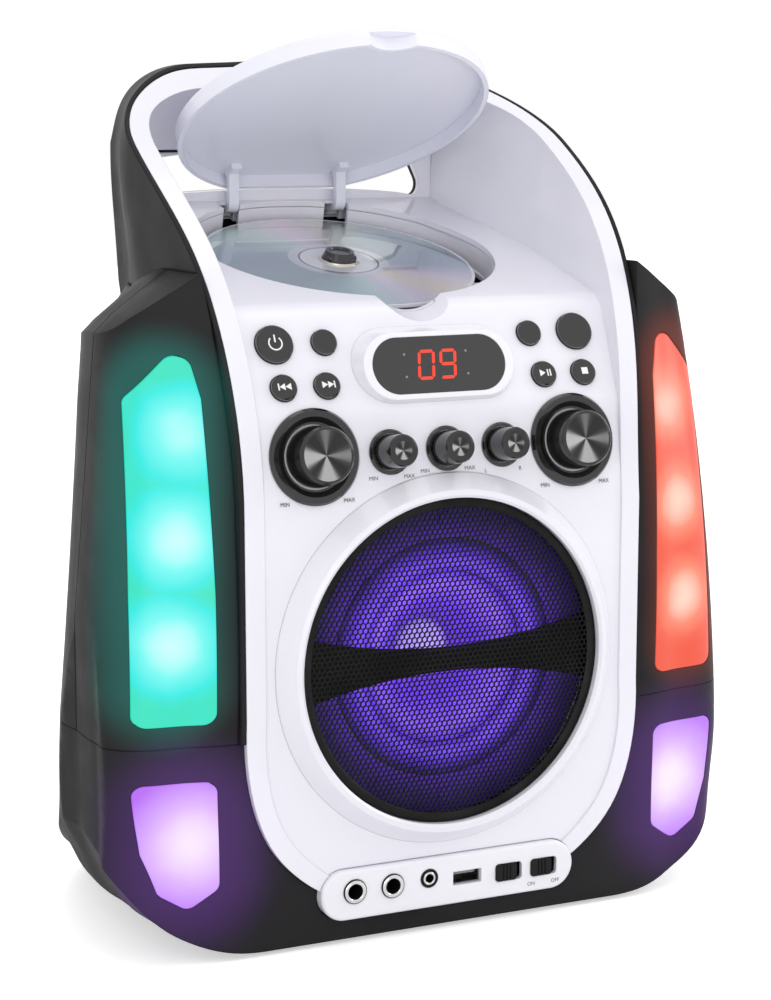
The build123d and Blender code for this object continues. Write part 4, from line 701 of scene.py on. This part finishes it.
icon("power_mark", "power_button", -68.5, 1,
     [arc(3.1, 130, 410) + arc(2.5, 50, -230), bar(0, 0.65, 3.2, 2.0)])
icon("previous_mark", "previous_button", -68.2, 0,
     [bar(-2.7, 0.6, 2.9), arrow(-1.15, 2.5, -1), arrow(1.45, 2.5, -1)])
icon("next_mark", "next_button", -49.4, 0,
     [arrow(-1.45, 2.5, 1), arrow(1.15, 2.5, 1), bar(2.7, 0.6, 2.9)])
icon("play_mark", "play_button", 49.4, 0, [arrow(-1.3, 2.6, 1), bar(1.1, 0.6, 2.9), bar(2.3, 0.6, 2.9)])
icon("stop_mark", "stop_button", 68.2, 0, [bar(0, 2.9, 2.9)])

# ------------------------------------------------------------------ display
DIGIT_SIZE = (6.4, 11.0)
DIGIT_BAR = 1.25
DIGIT_SLANT = 0.1
SEGMENTS = {"0": "abcdef", "9": "abcdfg"}
DOT_PLACES = [(-15.5, 4.6), (12.5, 5.0), (-15.5, -4.6), (12.5, -4.4)]


def digit(symbol, x):
    """Seven-segment digit: slanted bars with pointed ends."""
    width, height = DIGIT_SIZE
    half = DIGIT_BAR / 2
    gap = 0.22
    ends = {
        "a": ((0, height), (width, height)), "d": ((0, 0), (width, 0)),
        "g": ((0, height / 2), (width, height / 2)),
        "f": ((0, height / 2), (0, height)), "b": ((width, height / 2), (width, height)),
        "e": ((0, 0), (0, height / 2)), "c": ((width, 0), (width, height / 2)),
    }
    shapes = []
    for key in SEGMENTS[symbol]:
        first, second = (Vector(p) for p in ends[key])
        along = (second - first).normalized()
        side = Vector((-along.y, along.x)) * half
        first = first + along * gap
        second = second - along * gap
        loop = [first, first + along * half - side, second - along * half - side, second,
                second - along * half + side, first + along * half + side]
        shapes.append([(x + p.x + DIGIT_SLANT * (p.y - height / 2), p.y - height / 2) for p in loop])
    return shapes


digits = slabs("display_digits", digit("0", -9.2) + digit("9", 0.6), -0.12, 0.0, DIGIT, "cabinet", DISPLAY)
dots = slabs("display_dots", [arc(0.5, 0, 345, 23, x, y) for x, y in DOT_PLACES], -0.12, 0.0, INDICATOR,
             "cabinet", DISPLAY)

# ------------------------------------------------------------------ printed marks
MARK_SIZE = 2.3
labels = []
for x, cap, height in KNOB_PLACES.values():
    reach, drop = (14.0, -18.0) if cap > 10 else (8.0, -10.2)
    if x == 0:
        reach, drop = 10.2, -8.6
    labels += [("MIN" if x != 25.4 else "L", x - reach, drop, MARK_SIZE),
               ("MAX" if x != 25.4 else "R", x + reach, drop, MARK_SIZE)]
words("dial_marks", labels, DARK_PRINT, "cabinet", KNOBS, 0.04)
switch_labels = [("ON", 38.2, 14.9, MARK_SIZE), ("OFF", 49.8, 14.9, MARK_SIZE)]
words("switch_marks", switch_labels, DARK_PRINT, "cabinet", PILL, 0.03)

# ------------------------------------------------------------------ jack nuts and disc hub
MICROPHONE_NUT = [(3.25, 0.2), (3.25, 0.75), (3.5, 0.95), (4.3, 0.95), (4.75, 0.7), (4.9, 0.2)]
AUX_NUT = [(1.85, -0.2), (1.85, 0.35), (2.05, 0.5), (2.5, 0.5), (2.75, 0.3), (2.75, -0.2)]
HUB_PROFILE = [(7.7, 0.62), (7.7, 1.25), (8.0, 1.4), (8.35, 1.25), (8.5, 0.9), (9.1, 0.85), (9.3, 0.62)]
for side, x in (("left", -43.8), ("right", -26.7)):
    nut = lathe("microphone_nut_" + side, MICROPHONE_NUT, CHROME, "cabinet", shifted(PILL, x, 23.2))
lathe("aux_nut", AUX_NUT, CHROME, "cabinet", shifted(PILL, -9.9, 24.0))
lathe("hub_ring", HUB_PROFILE, HUB_RING, "disc_and_hub", DISC)

# ------------------------------------------------------------------ stage, light and camera
WHITE_ROOM = 1.0          # the room as the camera sees it
ROOM_LIGHT = 0.92         # and as it lights the part
FLOOR_LIFT = 0.5
CAMERA_PLACE = (-457.64, -868.57, 339.17)       # x, depth from the baffle plane and height, mm
FOCAL_LENGTH = 88.987


def stage():
    bpy.ops.mesh.primitive_plane_add(size=8.0, location=(0, 0, 0))
    floor = bpy.context.object
    floor.name = "floor"
    nodes = Nodes("floor")
    nodes.set(colour=nodes.ramp(nodes.noise(3.0, 2.0), [(0.3, grey(0.90)), (0.7, grey(0.92))]), rough=0.6)
    path = nodes.add("ShaderNodeLightPath")
    lift = nodes.math("MULTIPLY", path.outputs["Is Camera Ray"], FLOOR_LIFT)
    nodes.set(glow=(1.0, 1.0, 1.0), strength=lift)
    floor.data.materials.append(nodes.material)
    world = bpy.data.worlds.new("room")
    bpy.context.scene.world = world
    world.use_nodes = True
    tree = world.node_tree
    background = tree.nodes["Background"]
    path = tree.nodes.new("ShaderNodeLightPath")
    seen = tree.nodes.new("ShaderNodeMath")
    seen.operation = "MAXIMUM"
    tree.links.new(path.outputs["Is Camera Ray"], seen.inputs[0])
    tree.links.new(path.outputs["Is Transmission Ray"], seen.inputs[1])
    level = tree.nodes.new("ShaderNodeMapRange")
    level.inputs["To Min"].default_value = ROOM_LIGHT
    level.inputs["To Max"].default_value = WHITE_ROOM
    tree.links.new(seen.outputs[0], level.inputs["Value"])
    tree.links.new(level.outputs[0], background.inputs["Strength"])
    background.inputs["Color"].default_value = (1, 1, 1, 1)


def lamp(name, place, target, size, power):
    data = bpy.data.lights.new(name, "AREA")
    data.shape = "RECTANGLE"
    data.size, data.size_y = size
    data.energy = power
    lamp_object = bpy.data.objects.new(name, data)
    lamp_object.location = place
    lamp_object.rotation_euler = (Vector(target) - Vector(place)).to_track_quat("-Z", "Y").to_euler()
    bpy.context.scene.collection.objects.link(lamp_object)


stage()
lamp("key", (-0.9, -1.3, 1.15), (0, 0, 0.2), (0.9, 1.1), 2.5)
lamp("fill", (-0.35, -1.5, 0.12), (0, -0.02, 0.33), (1.2, 0.5), 2.6)
lamp("top", (0.1, -0.1, 1.7), (0, 0, 0.2), (1.4, 1.2), 3.0)
lamp("right", (1.5, -0.5, 0.7), (0, 0, 0.2), (0.4, 1.1), 4.0)

CAMERA_RIGHT = Vector((0.89810, -0.43980, 0.0))
CAMERA_BACK = Vector((-0.43429, -0.88675, 0.15826))
data = bpy.data.cameras.new("camera")
data.sensor_width = 36.0
data.lens = FOCAL_LENGTH
data.clip_start = 0.05
camera = bpy.data.objects.new("camera", data)
up = CAMERA_BACK.cross(CAMERA_RIGHT).normalized()
turn = Matrix((CAMERA_RIGHT.normalized(), up, CAMERA_BACK.normalized())).transposed().to_4x4()
place = Vector(CAMERA_PLACE) + Vector((0, BAFFLE, 0))
camera.matrix_world = Matrix.Translation(place * MM) @ turn
bpy.context.scene.collection.objects.link(camera)
bpy.context.scene.camera = camera

view = bpy.context.scene.view_settings
view.view_transform = "Standard"
